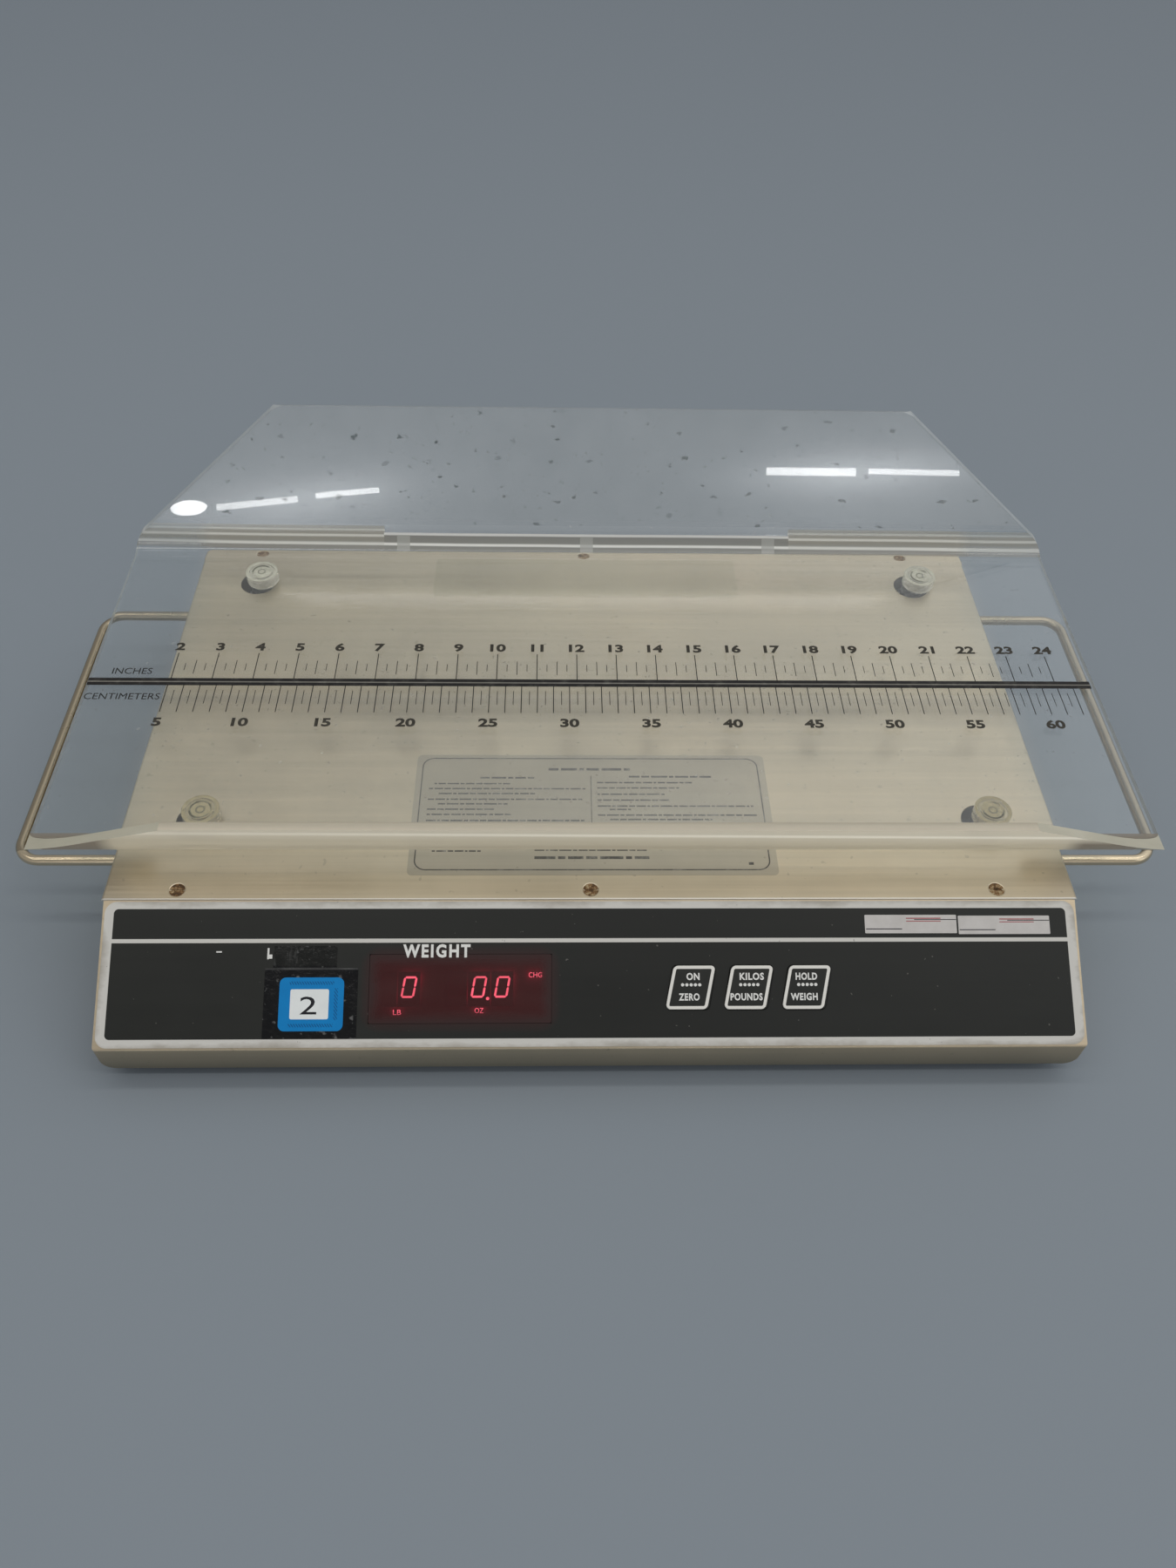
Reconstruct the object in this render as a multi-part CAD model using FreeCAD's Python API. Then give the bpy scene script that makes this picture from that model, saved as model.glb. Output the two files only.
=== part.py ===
"""Electronic infant scale: a folded steel housing with a sloping control panel, a single-point load cell
that carries a cast frame, and a bent clear tray that stands on the frame through holes in the deck.

Millimetres, +Z up, the control panel faces -Y, +X is to the right of someone facing the panel.
The origin lies on the table, under the centre of the whole scale's bounding box."""

import FreeCAD, Part
import math
import os

V = FreeCAD.Vector

# ---------------------------------------------------------------- housing
housing_w = 542.0  # across the deck cover
deck_d = 302.6  # front to rear, flat part
panel_run = 70.4  # front to rear, under the sloping panel
panel_rise = 38.8
lip_h = 21.0  # upright strip below the panel
foot_h = 9.0
sheet = 1.2  # housing steel
cover_gap = 0.2  # cover skirt to pan
skirt_h = 16.0
skirt_notch_d = 4.0  # the side skirts stop this far behind the front edge of the deck
ledge = 14.0  # inward flange that the cover is screwed to
pan_corner_r = 8.0
cover_corner_r = 4.0
bend_r = 1.6

# ---------------------------------------------------------------- tray
tray_w = 635.0
tray_floor_d = 268.5  # lip face to the corner of the back wall
tray_t = 6.0
tray_lip_h = 20.0
tray_lip_taper = 78.0  # the lip runs out over this length at each end
wall_h = 95.0  # back wall, along its slope
wall_lean = 25.0  # degrees from upright
wall_base_h = 6.0  # foot of the slanted corner, along the slope of the back wall
wall_cut_w = 105.0  # slanted corner, across
wall_corner_r = 18.0  # between the slanted corner and the top edge
wall_foot_r = 11.0  # between the slanted corner and the side
front_bend_r = 8.0
rear_bend_r = 18.0
tray_forward = 2.55  # floor centre behind the deck centre
tray_side_play = 4.0  # the tray stands this far to the right in the deck holes
tray_gap = 10.0  # deck to the underside of the tray

# ---------------------------------------------------------------- posts under the tray
post_side = 42.4  # deck hole centre, in from the side of the cover
post_end = 45.5  # half the length that the deck is longer than the pitch of the posts
posts_behind = 5.5  # centre of the posts behind the centre of the tray floor
post_d = 21.5
post_h = 8.0
post_ring_d = 17.0
post_ring_w = 1.5
post_ring_depth = 1.2
post_rim_r = 1.5
pin_d = 10.0
spigot_d = 6.0
spigot_h = 5.0
pin_chamfer = 1.0
deck_hole_d = 24.0
socket_fit = 0.3  # radial, pin in socket

# ---------------------------------------------------------------- weighing frame and load cell
cell_l = 130.0
cell_w = 30.0
cell_h = 22.0
cell_hole_d = 14.0
cell_hole_pitch = 34.0
cell_slot = 3.0
cell_bolt_d = 6.0
cell_bolt_pitch = 18.0
cell_bolt_edge = 11.0
bolt_clearance = 0.3
bolt_head_h = 4.0
bolt_end_gap = 2.0  # bolt end to the bottom of its hole
rail_h = 8.0
rail_t = 2.0
rail_w = 52.0
rail_foot = 12.0
rail_l = 230.0
mount_block_h = 4.0
mount_block_l = 40.0
platform_block_h = 6.0
frame_t = 3.0
frame_flange_h = 12.0
frame_wall = 2.5
frame_beam_w = 60.0
frame_arm_w = 30.0
frame_corner_r = 5.0
frame_rib_rise = 3.0  # lower edge of a rib above the lower edge of the flange
frame_overhang = 15.0  # arm end past the post
platform_travel = 0.5  # of the weighing frame at full load
stop_reserve = 0.3  # left above the overload stops at full load
stop_d = 6.0
stop_inset = 22.0  # overload stop, inward from the post
stop_chamfer = 0.6
socket_d = 20.0
socket_h = 13.0
socket_floor = 2.0
socket_chamfer = 1.0

# ---------------------------------------------------------------- carrying handles
rod_d = 6.4
handle_out = 67.0  # rod centre beyond the side of the cover
handle_d = 212.0  # between the two ends of a loop
handle_z_drop = 23.0  # rod centre below the deck
handle_forward = 1.2  # middle of a loop ahead of the middle of the deck
handle_bend_r = 13.0
handle_inside = 11.0  # threaded end inside the wall
rod_fit = 0.3
washer_t = 1.0
washer_ratio = 2.1  # outer diameter over rod diameter

# ---------------------------------------------------------------- control panel, measured down the slope
overlay_side = 1.3  # steel left bare at each side of the film
overlay_top = 0.6
overlay_foot = 1.2
overlay_t = 0.5
overlay_corner_r = 6.5
window_x = -73.4
window_s = 48.1
window_w = 99.0
window_l = 37.0
window_fit = 0.2
window_corner_r = 1.0
window_flange = 4.0
window_flange_t = 1.6
digit_pitch = 12.8
digit_first = -41.6  # leftmost digit, from the middle of the window
digit_w = 12.2
digit_l = 19.0
digit_t = 6.0
digit_count = 5
gap_after_digit = 1  # the ounces stand further right from this digit on
gap_width = 12.8
lamp_w = 5.0
lamp_l = 3.2
lamp_places = [(-34.9, 12.4), (9.8, 11.6), (40.6, -7.7)]  # pound, ounce, charge; from the window's middle
board_t = 1.6
board_drop = 13.0  # panel face to the upper face of the display board
display_board_w = 150.0
display_board_l = 46.0
key_first_x = 52.4
key_pitch = 31.9
key_s = 47.9
key_w = 23.8
key_l = 23.8
key_shear = 4.6  # sideways lean of a key over its length
key_gap = 0.35
key_corner_r = 2.6
key_rim_r = 0.4
key_cap_t = 1.0
key_lift = 0.6  # cap above the panel steel at rest
key_travel = 0.5
key_stem_d = 6.0
key_tip_d = 3.2
key_tip_h = 2.6
key_fit = 0.4
key_reserve = 0.3  # left under the stem's shoulder when the key is down
switch_w = 6.2
switch_h = 4.6
switch_drop = 4.0  # panel steel to the top of the switches
switch_well = 0.7  # left below the tip when the key is down
key_board_margin = 8.0
stud_d = 5.0
stud_tail = 4.0
stud_nut_h = 2.4

# ---------------------------------------------------------------- electronics and power
battery_l = 134.0
battery_w = 60.0
battery_h = 34.0
battery_side = 74.4  # its end to the side wall
battery_front = 26.0  # behind the top edge of the panel slope
battery_corner_r = 2.0
battery_lid_t = 12.6  # end cap of the case, past the groove
battery_groove = 1.4
battery_groove_depth = 1.0
tab_w = 4.8
tab_h = 6.0
tab_t = 0.8
tab_inset = 12.0
strap_w = 20.0
strap_t = 1.5
strap_foot = 16.0
strap_gap = 0.3
main_board_l = 140.0
main_board_w = 74.0
main_board_side = 76.4  # end of the board to the side wall
standoff_h = 8.0
standoff_d = 6.0
standoff_inset = 5.0
chip_h = 4.5  # plans below: x, y, width, depth, from the board's front left corner
chip_plan = [(22, 12, 52, 14), (22, 34, 36, 14), (84, 12, 20, 8), (84, 26, 20, 8), (22, 58, 42, 9)]
capacitor_plan = [(122, 20, 13, 20), (122, 38, 10, 16), (106, 44, 8, 12)]  # x, y, diameter, height
sink_x = 86.0
sink_y = 54.0
sink_h = 22.0
fin_count = 5
fin_pitch = 6.75
fin_t = 3.0
fin_l = 11.0
core_l = 57.0
core_w = 30.0
core_h = 48.0
coil_bulge = 9.0
coil_fit = 0.3
coil_corner_r = 4.0
core_foot_w = 10.0
core_foot_t = 1.5
core_foot_inset = 6.0
core_side = 119.9  # its foot to the side wall
core_rear = 40.0
inlet_side = 83.4  # its middle to the side wall
inlet_w = 27.0
inlet_h = 19.6
inlet_wall = 1.6
inlet_depth = 22.0
inlet_flange_w = 50.0
inlet_flange_t = 3.0
inlet_flange_rim = 1.5  # flange above and below the socket
inlet_corner = 5.0  # cut corners of the socket
inlet_floor = 3.0
inlet_screw_l = 12.0
pin_side = 7.0
pin_drop = 2.0
pin_w = 2.0
pin_h = 4.0
pin_tail = 8.0
pin_recess = 3.0
inlet_screw_pitch = 40.0
inlet_z = 32.0
inlet_fit = 0.2
fuse_side = 33.4  # its middle to the side wall
fuse_d = 12.0
fuse_cap_d = 15.0
fuse_cap_h = 7.0
fuse_slot_w = 1.6
fuse_slot_l = 10.0
fuse_slot_depth = 1.5
fuse_l = 34.0

# ---------------------------------------------------------------- fasteners and feet
deck_screw_side = 42.4  # outer screws, in from the side of the cover
deck_screw_inset = 6.4
deck_screw_shift = -2.1  # middle of the rows, from the middle of the deck
deck_screw_d = 4.0
deck_screw_head_d = 9.6
deck_screw_sunk = 0.2  # head below the deck
deck_screw_l = 9.0
deck_screw_slot = 0.5
thread_fit = 0.1  # radial, thread in nut, drawn as plain rods
hole_play = 0.3  # radial, screw in its hole
small_screw_d = 3.0
small_head_d = 5.6
small_head_h = 1.8
slot_w = 1.0
slot_depth = 0.8
nut_ratio = 1.7  # across flats over thread diameter
nut_h_ratio = 0.8
foot_d = 26.0
foot_top_d = 22.0
foot_side = 33.6  # in from the side of the pan
foot_front = 30.0
foot_rear = 26.0
foot_bore_d = 12.0
foot_web = 3.5
foot_head_h = 2.6
foot_screw_past = 6.0  # above the floor of the pan
screw_past = 5.0  # small screws, into their standoffs
floor_screw_past = 2.0  # below the floor of the pan

# ---------------------------------------------------------------- worked-out places
wall_lean_rad = math.radians(wall_lean)
tray_reach = wall_h * math.sin(wall_lean_rad) + tray_t * math.cos(wall_lean_rad)
housing_d = deck_d + panel_run
tray_front_offset = panel_run + deck_d / 2 + tray_forward - tray_floor_d / 2
total_d = max(housing_d, tray_front_offset + tray_floor_d + tray_reach)
y_front = -total_d / 2
y_edge = y_front + panel_run  # front edge of the deck
y_rear = y_edge + deck_d
y_deck = (y_edge + y_rear) / 2
y_tray = y_deck + tray_forward
y_lip = y_tray - tray_floor_d / 2
y_wall = y_tray + tray_floor_d / 2
y_posts = y_tray + posts_behind

z_pan = foot_h
z_floor = z_pan + sheet
z_fold = z_pan + lip_h
z_ledge = z_fold + panel_rise
z_deck = z_ledge + sheet
z_tray = z_deck + tray_gap
z_tray_top = z_tray + tray_t
z_post = z_tray - post_h

pan_half = housing_w / 2 - sheet - cover_gap
pan_rear = y_rear - sheet - cover_gap
wall_in = pan_half - sheet
rear_in = pan_rear - sheet

z_rail = z_floor + rail_h
z_cell = z_rail + mount_block_h
z_cell_top = z_cell + cell_h
z_plate = z_cell_top + platform_block_h
z_plate_top = z_plate + frame_t
z_socket_floor = z_plate_top + socket_floor
z_board = z_floor + standoff_h + board_t  # upper face of the main board
bolt_hole_d = cell_bolt_d + 2 * bolt_clearance
screw_hole_d = small_screw_d + 2 * hole_play
cover_screw_hole_d = deck_screw_d + 2 * hole_play
handle_z = z_deck - handle_z_drop
handle_reach = housing_w / 2 + handle_out
foot_x = pan_half - foot_side
battery_x = wall_in - battery_side - battery_l / 2
core_x = wall_in - core_side - core_foot_w - core_l / 2
inlet_x = wall_in - inlet_side
fuse_x = wall_in - fuse_side

post_half_x = housing_w / 2 - post_side
post_half_y = deck_d / 2 - post_end
post_x = [tray_side_play - post_half_x, tray_side_play + post_half_x]
post_y = [y_posts - post_half_y, y_posts + post_half_y]
post_places = [(x, y) for x in post_x for y in post_y]
digit_x = [window_x + digit_first + i * digit_pitch + (gap_width if i > gap_after_digit else 0)
           for i in range(digit_count)]
key_x = [key_first_x + i * key_pitch for i in range(3)]
panel_angle = math.degrees(math.atan2(panel_rise, panel_run))
panel_l = math.hypot(panel_rise, panel_run)
overlay_half = pan_half - overlay_side
z_switch = -sheet - switch_drop  # top of the switches, square to the panel
z_key_board = z_switch - switch_h
y_inlet = pan_rear + inlet_flange_t  # rear face of the inlet's flange


# ---------------------------------------------------------------- forms used by several pieces
def block(x0, x1, y0, y1, z0, z1):
    return Part.makeBox(x1 - x0, y1 - y0, z1 - z0, V(x0, y0, z0))


def rod(x, y, z0, z1, d):
    return Part.makeCylinder(d / 2, z1 - z0, V(x, y, z0))


def rod_y(x, z, y0, y1, d):
    return Part.makeCylinder(d / 2, y1 - y0, V(x, y0, z), V(0, 1, 0))


def rod_x(y, z, x0, x1, d):
    return Part.makeCylinder(d / 2, x1 - x0, V(x0, y, z), V(1, 0, 0))


def prism_x(points, x0, x1):
    """Extrudes an outline of (y, z) points from x0 to x1."""
    corners = [V(x0, y, z) for y, z in points]
    face = Part.Face(Part.makePolygon(corners + corners[:1]))
    return face.extrude(V(x1 - x0, 0, 0))


def prism_y(points, y0, y1):
    """Extrudes an outline of (x, z) points from y0 to y1."""
    corners = [V(x, y0, z) for x, z in points]
    face = Part.Face(Part.makePolygon(corners + corners[:1]))
    return face.extrude(V(0, y1 - y0, 0))


def prism_z(points, z0, z1):
    """Extrudes an outline of (x, y) points from z0 to z1."""
    corners = [V(x, y, z0) for x, y in points]
    face = Part.Face(Part.makePolygon(corners + corners[:1]))
    return face.extrude(V(0, 0, z1 - z0))


def edges_along(shape, direction, test=lambda point: True):
    """Straight edges that run along a direction and whose middle passes a test."""
    found = []
    for edge in shape.Edges:
        start, end = edge.Vertexes[0].Point, edge.Vertexes[-1].Point
        run = end - start
        if run.Length < 1e-6 or abs(run.Length - edge.Length) > 1e-6:
            continue
        if abs(abs(run.normalize().dot(direction)) - 1) > 1e-6:
            continue
        if test((start + end) * 0.5):
            found.append(edge)
    return found


def edges_at_z(shape, z):
    return [edge for edge in shape.Edges if abs(edge.CenterOfMass.z - z) < 0.001]


def inset(points, distance):
    """Moves each side of a clockwise or anticlockwise outline inwards by a distance."""
    area = sum(a[0] * b[1] - b[0] * a[1] for a, b in zip(points, points[1:] + points[:1]))
    turn = 1 if area > 0 else -1
    lines = []
    for a, b in zip(points, points[1:] + points[:1]):
        length = math.hypot(b[0] - a[0], b[1] - a[1])
        ux, uy = (b[0] - a[0]) / length, (b[1] - a[1]) / length
        lines.append((a[0] - turn * uy * distance, a[1] + turn * ux * distance, ux, uy))
    moved = []
    for (ax, ay, ux, uy), (bx, by, vx, vy) in zip(lines[-1:] + lines[:-1], lines):
        t = ((bx - ax) * vy - (by - ay) * vx) / (ux * vy - uy * vx)
        moved.append((ax + ux * t, ay + uy * t))
    return moved


def on_panel(shape):
    """Places a shape drawn flat: +X across, +Y up the slope from its top edge, +Z out of the panel."""
    placed = shape.copy()
    placed.rotate(V(0, 0, 0), V(1, 0, 0), panel_angle)
    placed.translate(V(0, y_edge, z_ledge))
    return placed


def hexagon(x, y, z0, z1, thread_d):
    """A plain nut or bolt head for a thread of this size."""
    r = thread_d * nut_ratio / math.sqrt(3)
    turns = [math.radians(60 * i) for i in range(6)]
    return prism_z([(x + r * math.cos(turn), y + r * math.sin(turn)) for turn in turns], z0, z1)


def nut_on_floor(x, y, thread_d):
    """A nut that stands on the floor of the pan round a thread."""
    z_top = z_floor + thread_d * nut_h_ratio
    return hexagon(x, y, z_floor, z_top, thread_d).cut(rod(x, y, z_floor - 1, z_top + 1, thread_d))


def slotted_screw(x, y, z_seat, length, d, head_d, head_h):
    """A cheese-head screw whose head stands on z_seat and whose shank goes down."""
    screw = rod(x, y, z_seat - length, z_seat, d).fuse(rod(x, y, z_seat, z_seat + head_h, head_d))
    z_top = z_seat + head_h
    slot = block(x - head_d, x + head_d, y - slot_w / 2, y + slot_w / 2, z_top - slot_depth, z_top + 1)
    return screw.cut(slot)


def save(name, *solids):
    shape = solids[0] if len(solids) == 1 else Part.makeCompound(list(solids))
    shape.exportStep("parts/" + name + ".step")


# ---------------------------------------------------------------- housing
def pan_outline():
    return [(y_front, z_pan), (pan_rear, z_pan), (pan_rear, z_ledge), (y_edge, z_ledge), (y_front, z_fold)]


def shell_core(points, half, corner_r):
    """A prism of the housing's side outline with its two lower long edges rounded."""
    body = prism_x(points, -half, half)
    low = min(z for _, z in points)
    return body.makeFillet(corner_r, edges_along(body, V(0, 1, 0), lambda p: abs(p.z - low) < 0.01))


def base_pan():
    """Folded and welded pan: bottom, sides, rear wall, front lip and sloping panel, open at the top."""
    outer = shell_core(pan_outline(), pan_half, pan_corner_r)
    front_edges = edges_along(outer, V(1, 0, 0), lambda p: abs(p.y - y_front) < 0.01)
    outer = outer.makeFillet(bend_r, front_edges)
    rear_edges = edges_along(outer, V(0, 0, 1), lambda p: p.y > y_deck)
    outer = outer.makeFillet(cover_corner_r - sheet, rear_edges)
    inner = shell_core(inset(pan_outline(), sheet), wall_in, pan_corner_r - sheet)
    pan = outer.cut(inner)
    half = pan_half - ledge
    pan = pan.cut(block(-half, half, y_edge + ledge, pan_rear - ledge, z_ledge - 2 * sheet, z_ledge + 1))
    cuts = [window_opening(sheet * 3, window_fit)]
    cuts += [on_panel(rod(x, -key_s, -3 * sheet, 3 * sheet, key_stem_d + 2 * key_fit)) for x in key_x]
    cuts += [rod(x, y, z_ledge - 2 * sheet, z_deck, cover_screw_hole_d) for x, y in deck_screw_places()]
    cuts += [rod(x, y, z_pan - 1, z_floor + 1, cover_screw_hole_d) for x, y in foot_places()]
    floor_screws = strap_screw_places() + core_screw_places()
    cuts += [rod(x, y, z_pan - 1, z_floor + 1, small_screw_d) for x, y in floor_screws]
    cuts += [rod_x(y, handle_z, side * pan_half - 3, side * pan_half + 3, rod_d + 2 * rod_fit)
             for side in (-1, 1) for y in handle_ends()]
    cuts.append(inlet_outline(inlet_fit, rear_in - 1, pan_rear + 1))
    cuts.append(rod_y(fuse_x, inlet_z, rear_in - 1, pan_rear + 1, fuse_d + 2 * inlet_fit))
    cuts += inlet_screw_holes(rear_in - 1, pan_rear + 1)
    return pan.cut(cuts)


def deck_screw_places():
    rows = [y_edge + deck_screw_inset, y_rear - deck_screw_inset]
    pitch = housing_w / 2 - deck_screw_side
    return [(deck_screw_shift + column * pitch, y) for y in rows for column in (-1, 0, 1)]


def foot_places():
    rows = [y_front + foot_front, y_rear - foot_rear]
    return [(side * foot_x, y) for y in rows for side in (-1, 1)]


def handle_ends():
    return [y_deck - handle_forward - handle_d / 2, y_deck - handle_forward + handle_d / 2]


def top_cover():
    """Deck with short skirts, four clearance holes for the posts and six dimpled screw holes."""
    half = housing_w / 2
    cover = block(-half, half, y_edge, y_rear, z_deck - skirt_h, z_deck)
    rear_corners = edges_along(cover, V(0, 0, 1), lambda p: p.y > y_deck)
    cover = cover.makeFillet(cover_corner_r, rear_corners)
    bends = [edge for edge in edges_at_z(cover, z_deck) if edge.CenterOfMass.y > y_edge + 1]
    cover = cover.makeFillet(bend_r, bends)
    hollow = block(-half + sheet, half - sheet, y_edge - 1, y_rear - sheet, z_deck - skirt_h - 1, z_ledge)
    inner_r = cover_corner_r - sheet
    hollow = hollow.makeFillet(inner_r, edges_along(hollow, V(0, 0, 1), lambda p: p.y > y_deck))
    cover = cover.cut(hollow)
    notch = block(-half - 1, half + 1, y_edge - 1, y_edge + skirt_notch_d, z_deck - skirt_h - 1, z_ledge)
    cover = cover.cut(notch)
    holes = [rod(side * post_half_x, y, z_ledge - 1, z_deck + 1, deck_hole_d)
             for side in (-1, 1) for y in post_y]
    dimples = [Part.makeCone(deck_screw_d / 2, deck_screw_head_d / 2, sheet, V(x, y, z_ledge))
               for x, y in deck_screw_places()]
    return cover.cut(holes + dimples)


def deck_screws():
    """Countersunk screws with a slot, driven into the nuts under the ledge."""
    screws = []
    head_h = sheet - deck_screw_sunk
    shank_r = deck_screw_d / 2
    head_r = shank_r + (deck_screw_head_d / 2 - shank_r) * head_h / sheet
    for x, y in deck_screw_places():
        shank = rod(x, y, z_deck - deck_screw_l, z_ledge + head_h / 2, deck_screw_d - 2 * thread_fit)
        head = Part.makeCone(shank_r, head_r, head_h, V(x, y, z_ledge))
        z_top = z_ledge + head_h
        slot = block(x - deck_screw_head_d, x + deck_screw_head_d, y - slot_w / 2, y + slot_w / 2,
                     z_top - deck_screw_slot, z_top + 1)
        screws.append(shank.fuse(head).cut(slot))
    return screws


def deck_nuts():
    """Square nuts welded under the ledge."""
    z_under = z_ledge - sheet
    half = deck_screw_d * nut_ratio / 2
    nuts = []
    for x, y in deck_screw_places():
        nut = block(x - half, x + half, y - half, y + half, z_under - deck_screw_d * nut_h_ratio, z_under)
        nuts.append(nut.cut(rod(x, y, z_under - deck_screw_l, z_under + 1, deck_screw_d - 2 * thread_fit)))
    return nuts


def rubber_feet():
    feet = []
    for x, y in foot_places():
        foot = Part.makeCone(foot_d / 2, foot_top_d / 2, foot_h, V(x, y, 0))
        bores = [rod(x, y, -1, foot_h - foot_web, foot_bore_d), rod(x, y, -1, foot_h + 1, deck_screw_d)]
        feet.append(foot.cut(bores))
    return feet


def foot_screws():
    """Screws up through the feet, their heads inside the bore of the rubber."""
    z_head = foot_h - foot_web
    screws = []
    for x, y in foot_places():
        shank = rod(x, y, z_head, z_floor + foot_screw_past, deck_screw_d)
        screws.append(shank.fuse(rod(x, y, z_head - foot_head_h, z_head, deck_screw_d * 2)))
    return screws


def foot_nuts():
    return [nut_on_floor(x, y, deck_screw_d) for x, y in foot_places()]


# ---------------------------------------------------------------- carrying handles
def handle(side):
    """Bent rod: two ends through the side wall joined by one bar, with tangent bends."""
    y0, y1 = handle_ends()
    x_in = side * (wall_in - handle_inside)
    x_out = side * handle_reach
    x_turn = x_out - side * handle_bend_r
    diagonal = handle_bend_r * (1 - math.sqrt(0.5))
    points = {
        "start": V(x_in, y0, handle_z),
        "a": V(x_turn, y0, handle_z),
        "a_mid": V(x_out - side * diagonal, y0 + diagonal, handle_z),
        "b": V(x_out, y0 + handle_bend_r, handle_z),
        "c": V(x_out, y1 - handle_bend_r, handle_z),
        "c_mid": V(x_out - side * diagonal, y1 - diagonal, handle_z),
        "d": V(x_turn, y1, handle_z),
        "end": V(x_in, y1, handle_z),
    }
    path = Part.Wire([
        Part.LineSegment(points["start"], points["a"]).toShape(),
        Part.Arc(points["a"], points["a_mid"], points["b"]).toShape(),
        Part.LineSegment(points["b"], points["c"]).toShape(),
        Part.Arc(points["c"], points["c_mid"], points["d"]).toShape(),
        Part.LineSegment(points["d"], points["end"]).toShape(),
    ])
    section = Part.Wire([Part.makeCircle(rod_d / 2, points["start"], V(1, 0, 0))])
    return path.makePipeShell([section], True, False)


def nut_on_rod(x, y, z, t):
    """A nut with its axis along X, from x to x + t."""
    nut = hexagon(0, 0, 0, t, rod_d)
    nut.rotate(V(0, 0, 0), V(0, 1, 0), 90)
    nut.translate(V(x, y, z))
    return nut.cut(rod_x(y, z, x - 1, x + t + 1, rod_d))


def handle_nuts():
    """One nut inside and one outside the wall at each end of each handle."""
    t = rod_d * nut_h_ratio
    nuts = []
    for side in (-1, 1):
        for y in handle_ends():
            inner = side * (wall_in - washer_t) - (t if side > 0 else 0)
            outer = side * pan_half - (0 if side > 0 else t)
            nuts += [nut_on_rod(inner, y, handle_z, t), nut_on_rod(outer, y, handle_z, t)]
    return nuts


def handle_washers():
    """One washer under each inner nut."""
    rings = []
    for side in (-1, 1):
        for y in handle_ends():
            x0 = side * wall_in - (washer_t if side > 0 else 0)
            ring = rod_x(y, handle_z, x0, x0 + washer_t, rod_d * washer_ratio)
            rings.append(ring.cut(rod_x(y, handle_z, x0 - 1, x0 + washer_t + 1, rod_d)))
    return rings


# ---------------------------------------------------------------- control panel
def window_opening(depth, fit):
    x0, x1 = window_x - window_w / 2 - fit, window_x + window_w / 2 + fit
    y0, y1 = -window_s - window_l / 2 - fit, -window_s + window_l / 2 + fit
    return on_panel(block(x0, x1, y0, y1, -depth, depth))


def key_outline(x, margin):
    """Leaning key outline, grown by a margin, as (x, y) points on the flat panel."""
    y0, y1 = -key_s - key_l / 2, -key_s + key_l / 2
    left, right = x - key_w / 2, x + key_w / 2
    lean = key_shear / 2
    points = [(left - lean, y0), (right - lean, y0), (right + lean, y1), (left + lean, y1)]
    return inset(points, -margin)


def key_blank(x, margin, corner_r, z0, z1):
    plate = prism_z(key_outline(x, margin), z0, z1)
    return plate.makeFillet(corner_r, edges_along(plate, V(0, 0, 1)))


def control_overlay():
    """Printed film on the slope, with openings for the window and the three keys."""
    film = block(-overlay_half, overlay_half, overlay_foot - panel_l, -overlay_top, 0, overlay_t)
    film = film.makeFillet(overlay_corner_r, edges_along(film, V(0, 0, 1)))
    film = on_panel(film.cut([key_blank(x, key_gap, key_corner_r + key_gap, -1, 1) for x in key_x]))
    return film.cut(window_opening(sheet * 3, window_fit))


def display_window():
    """Red filter: a plate behind the panel with a raised pad that fills the opening."""
    x0, x1 = window_x - window_w / 2, window_x + window_w / 2
    y0, y1 = -window_s - window_l / 2, -window_s + window_l / 2
    pad = block(x0, x1, y0, y1, -sheet - window_flange_t, overlay_t)
    pad = pad.makeFillet(window_corner_r, edges_along(pad, V(0, 0, 1)))
    grow = window_flange
    plate = block(x0 - grow, x1 + grow, y0 - grow, y1 + grow, -sheet - window_flange_t, -sheet)
    return on_panel(pad.fuse(plate))


def display_board():
    """Circuit board under the window, parallel to the panel, hung on four studs."""
    half_w, half_l = display_board_w / 2, display_board_l / 2
    board = block(window_x - half_w, window_x + half_w, -window_s - half_l, -window_s + half_l,
                  -board_drop - board_t, -board_drop)
    holes = [rod(x, y, -board_drop - board_t - 1, -board_drop + 1, screw_hole_d)
             for x, y in display_stud_places()]
    return on_panel(board.cut(holes))


def display_stud_places():
    dx = display_board_w / 2 - stud_d
    dy = display_board_l / 2 - stud_d
    return [(window_x + sx * dx, -window_s + sy * dy) for sx in (-1, 1) for sy in (-1, 1)]


def panel_stud(x, y, z_board):
    """Stud welded to the back of the panel: spacer, thread and nut, with a board's upper face at z_board."""
    spacer = rod(x, y, z_board, -sheet, stud_d)
    thread = rod(x, y, z_board - board_t - stud_tail, z_board, small_screw_d)
    nut = hexagon(x, y, z_board - board_t - stud_nut_h, z_board - board_t, small_screw_d)
    return on_panel(spacer.fuse([thread, nut]))


def display_studs():
    return [panel_stud(x, y, -board_drop) for x, y in display_stud_places()]


def display_digits():
    """Seven-segment modules soldered side by side."""
    digits = []
    for x in digit_x:
        body = block(x - digit_w / 2, x + digit_w / 2, -window_s - digit_l / 2, -window_s + digit_l / 2,
                     -board_drop, -board_drop + digit_t)
        digits.append(on_panel(body))
    return digits


def unit_lamps():
    """Small light bars for the pound, ounce and charge legends."""
    lamps = []
    for across, down in lamp_places:
        x, y = window_x + across, -window_s - down
        lamps.append(on_panel(block(x - lamp_w / 2, x + lamp_w / 2, y - lamp_l / 2, y + lamp_l / 2,
                                    -board_drop, -board_drop + digit_t)))
    return lamps


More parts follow.
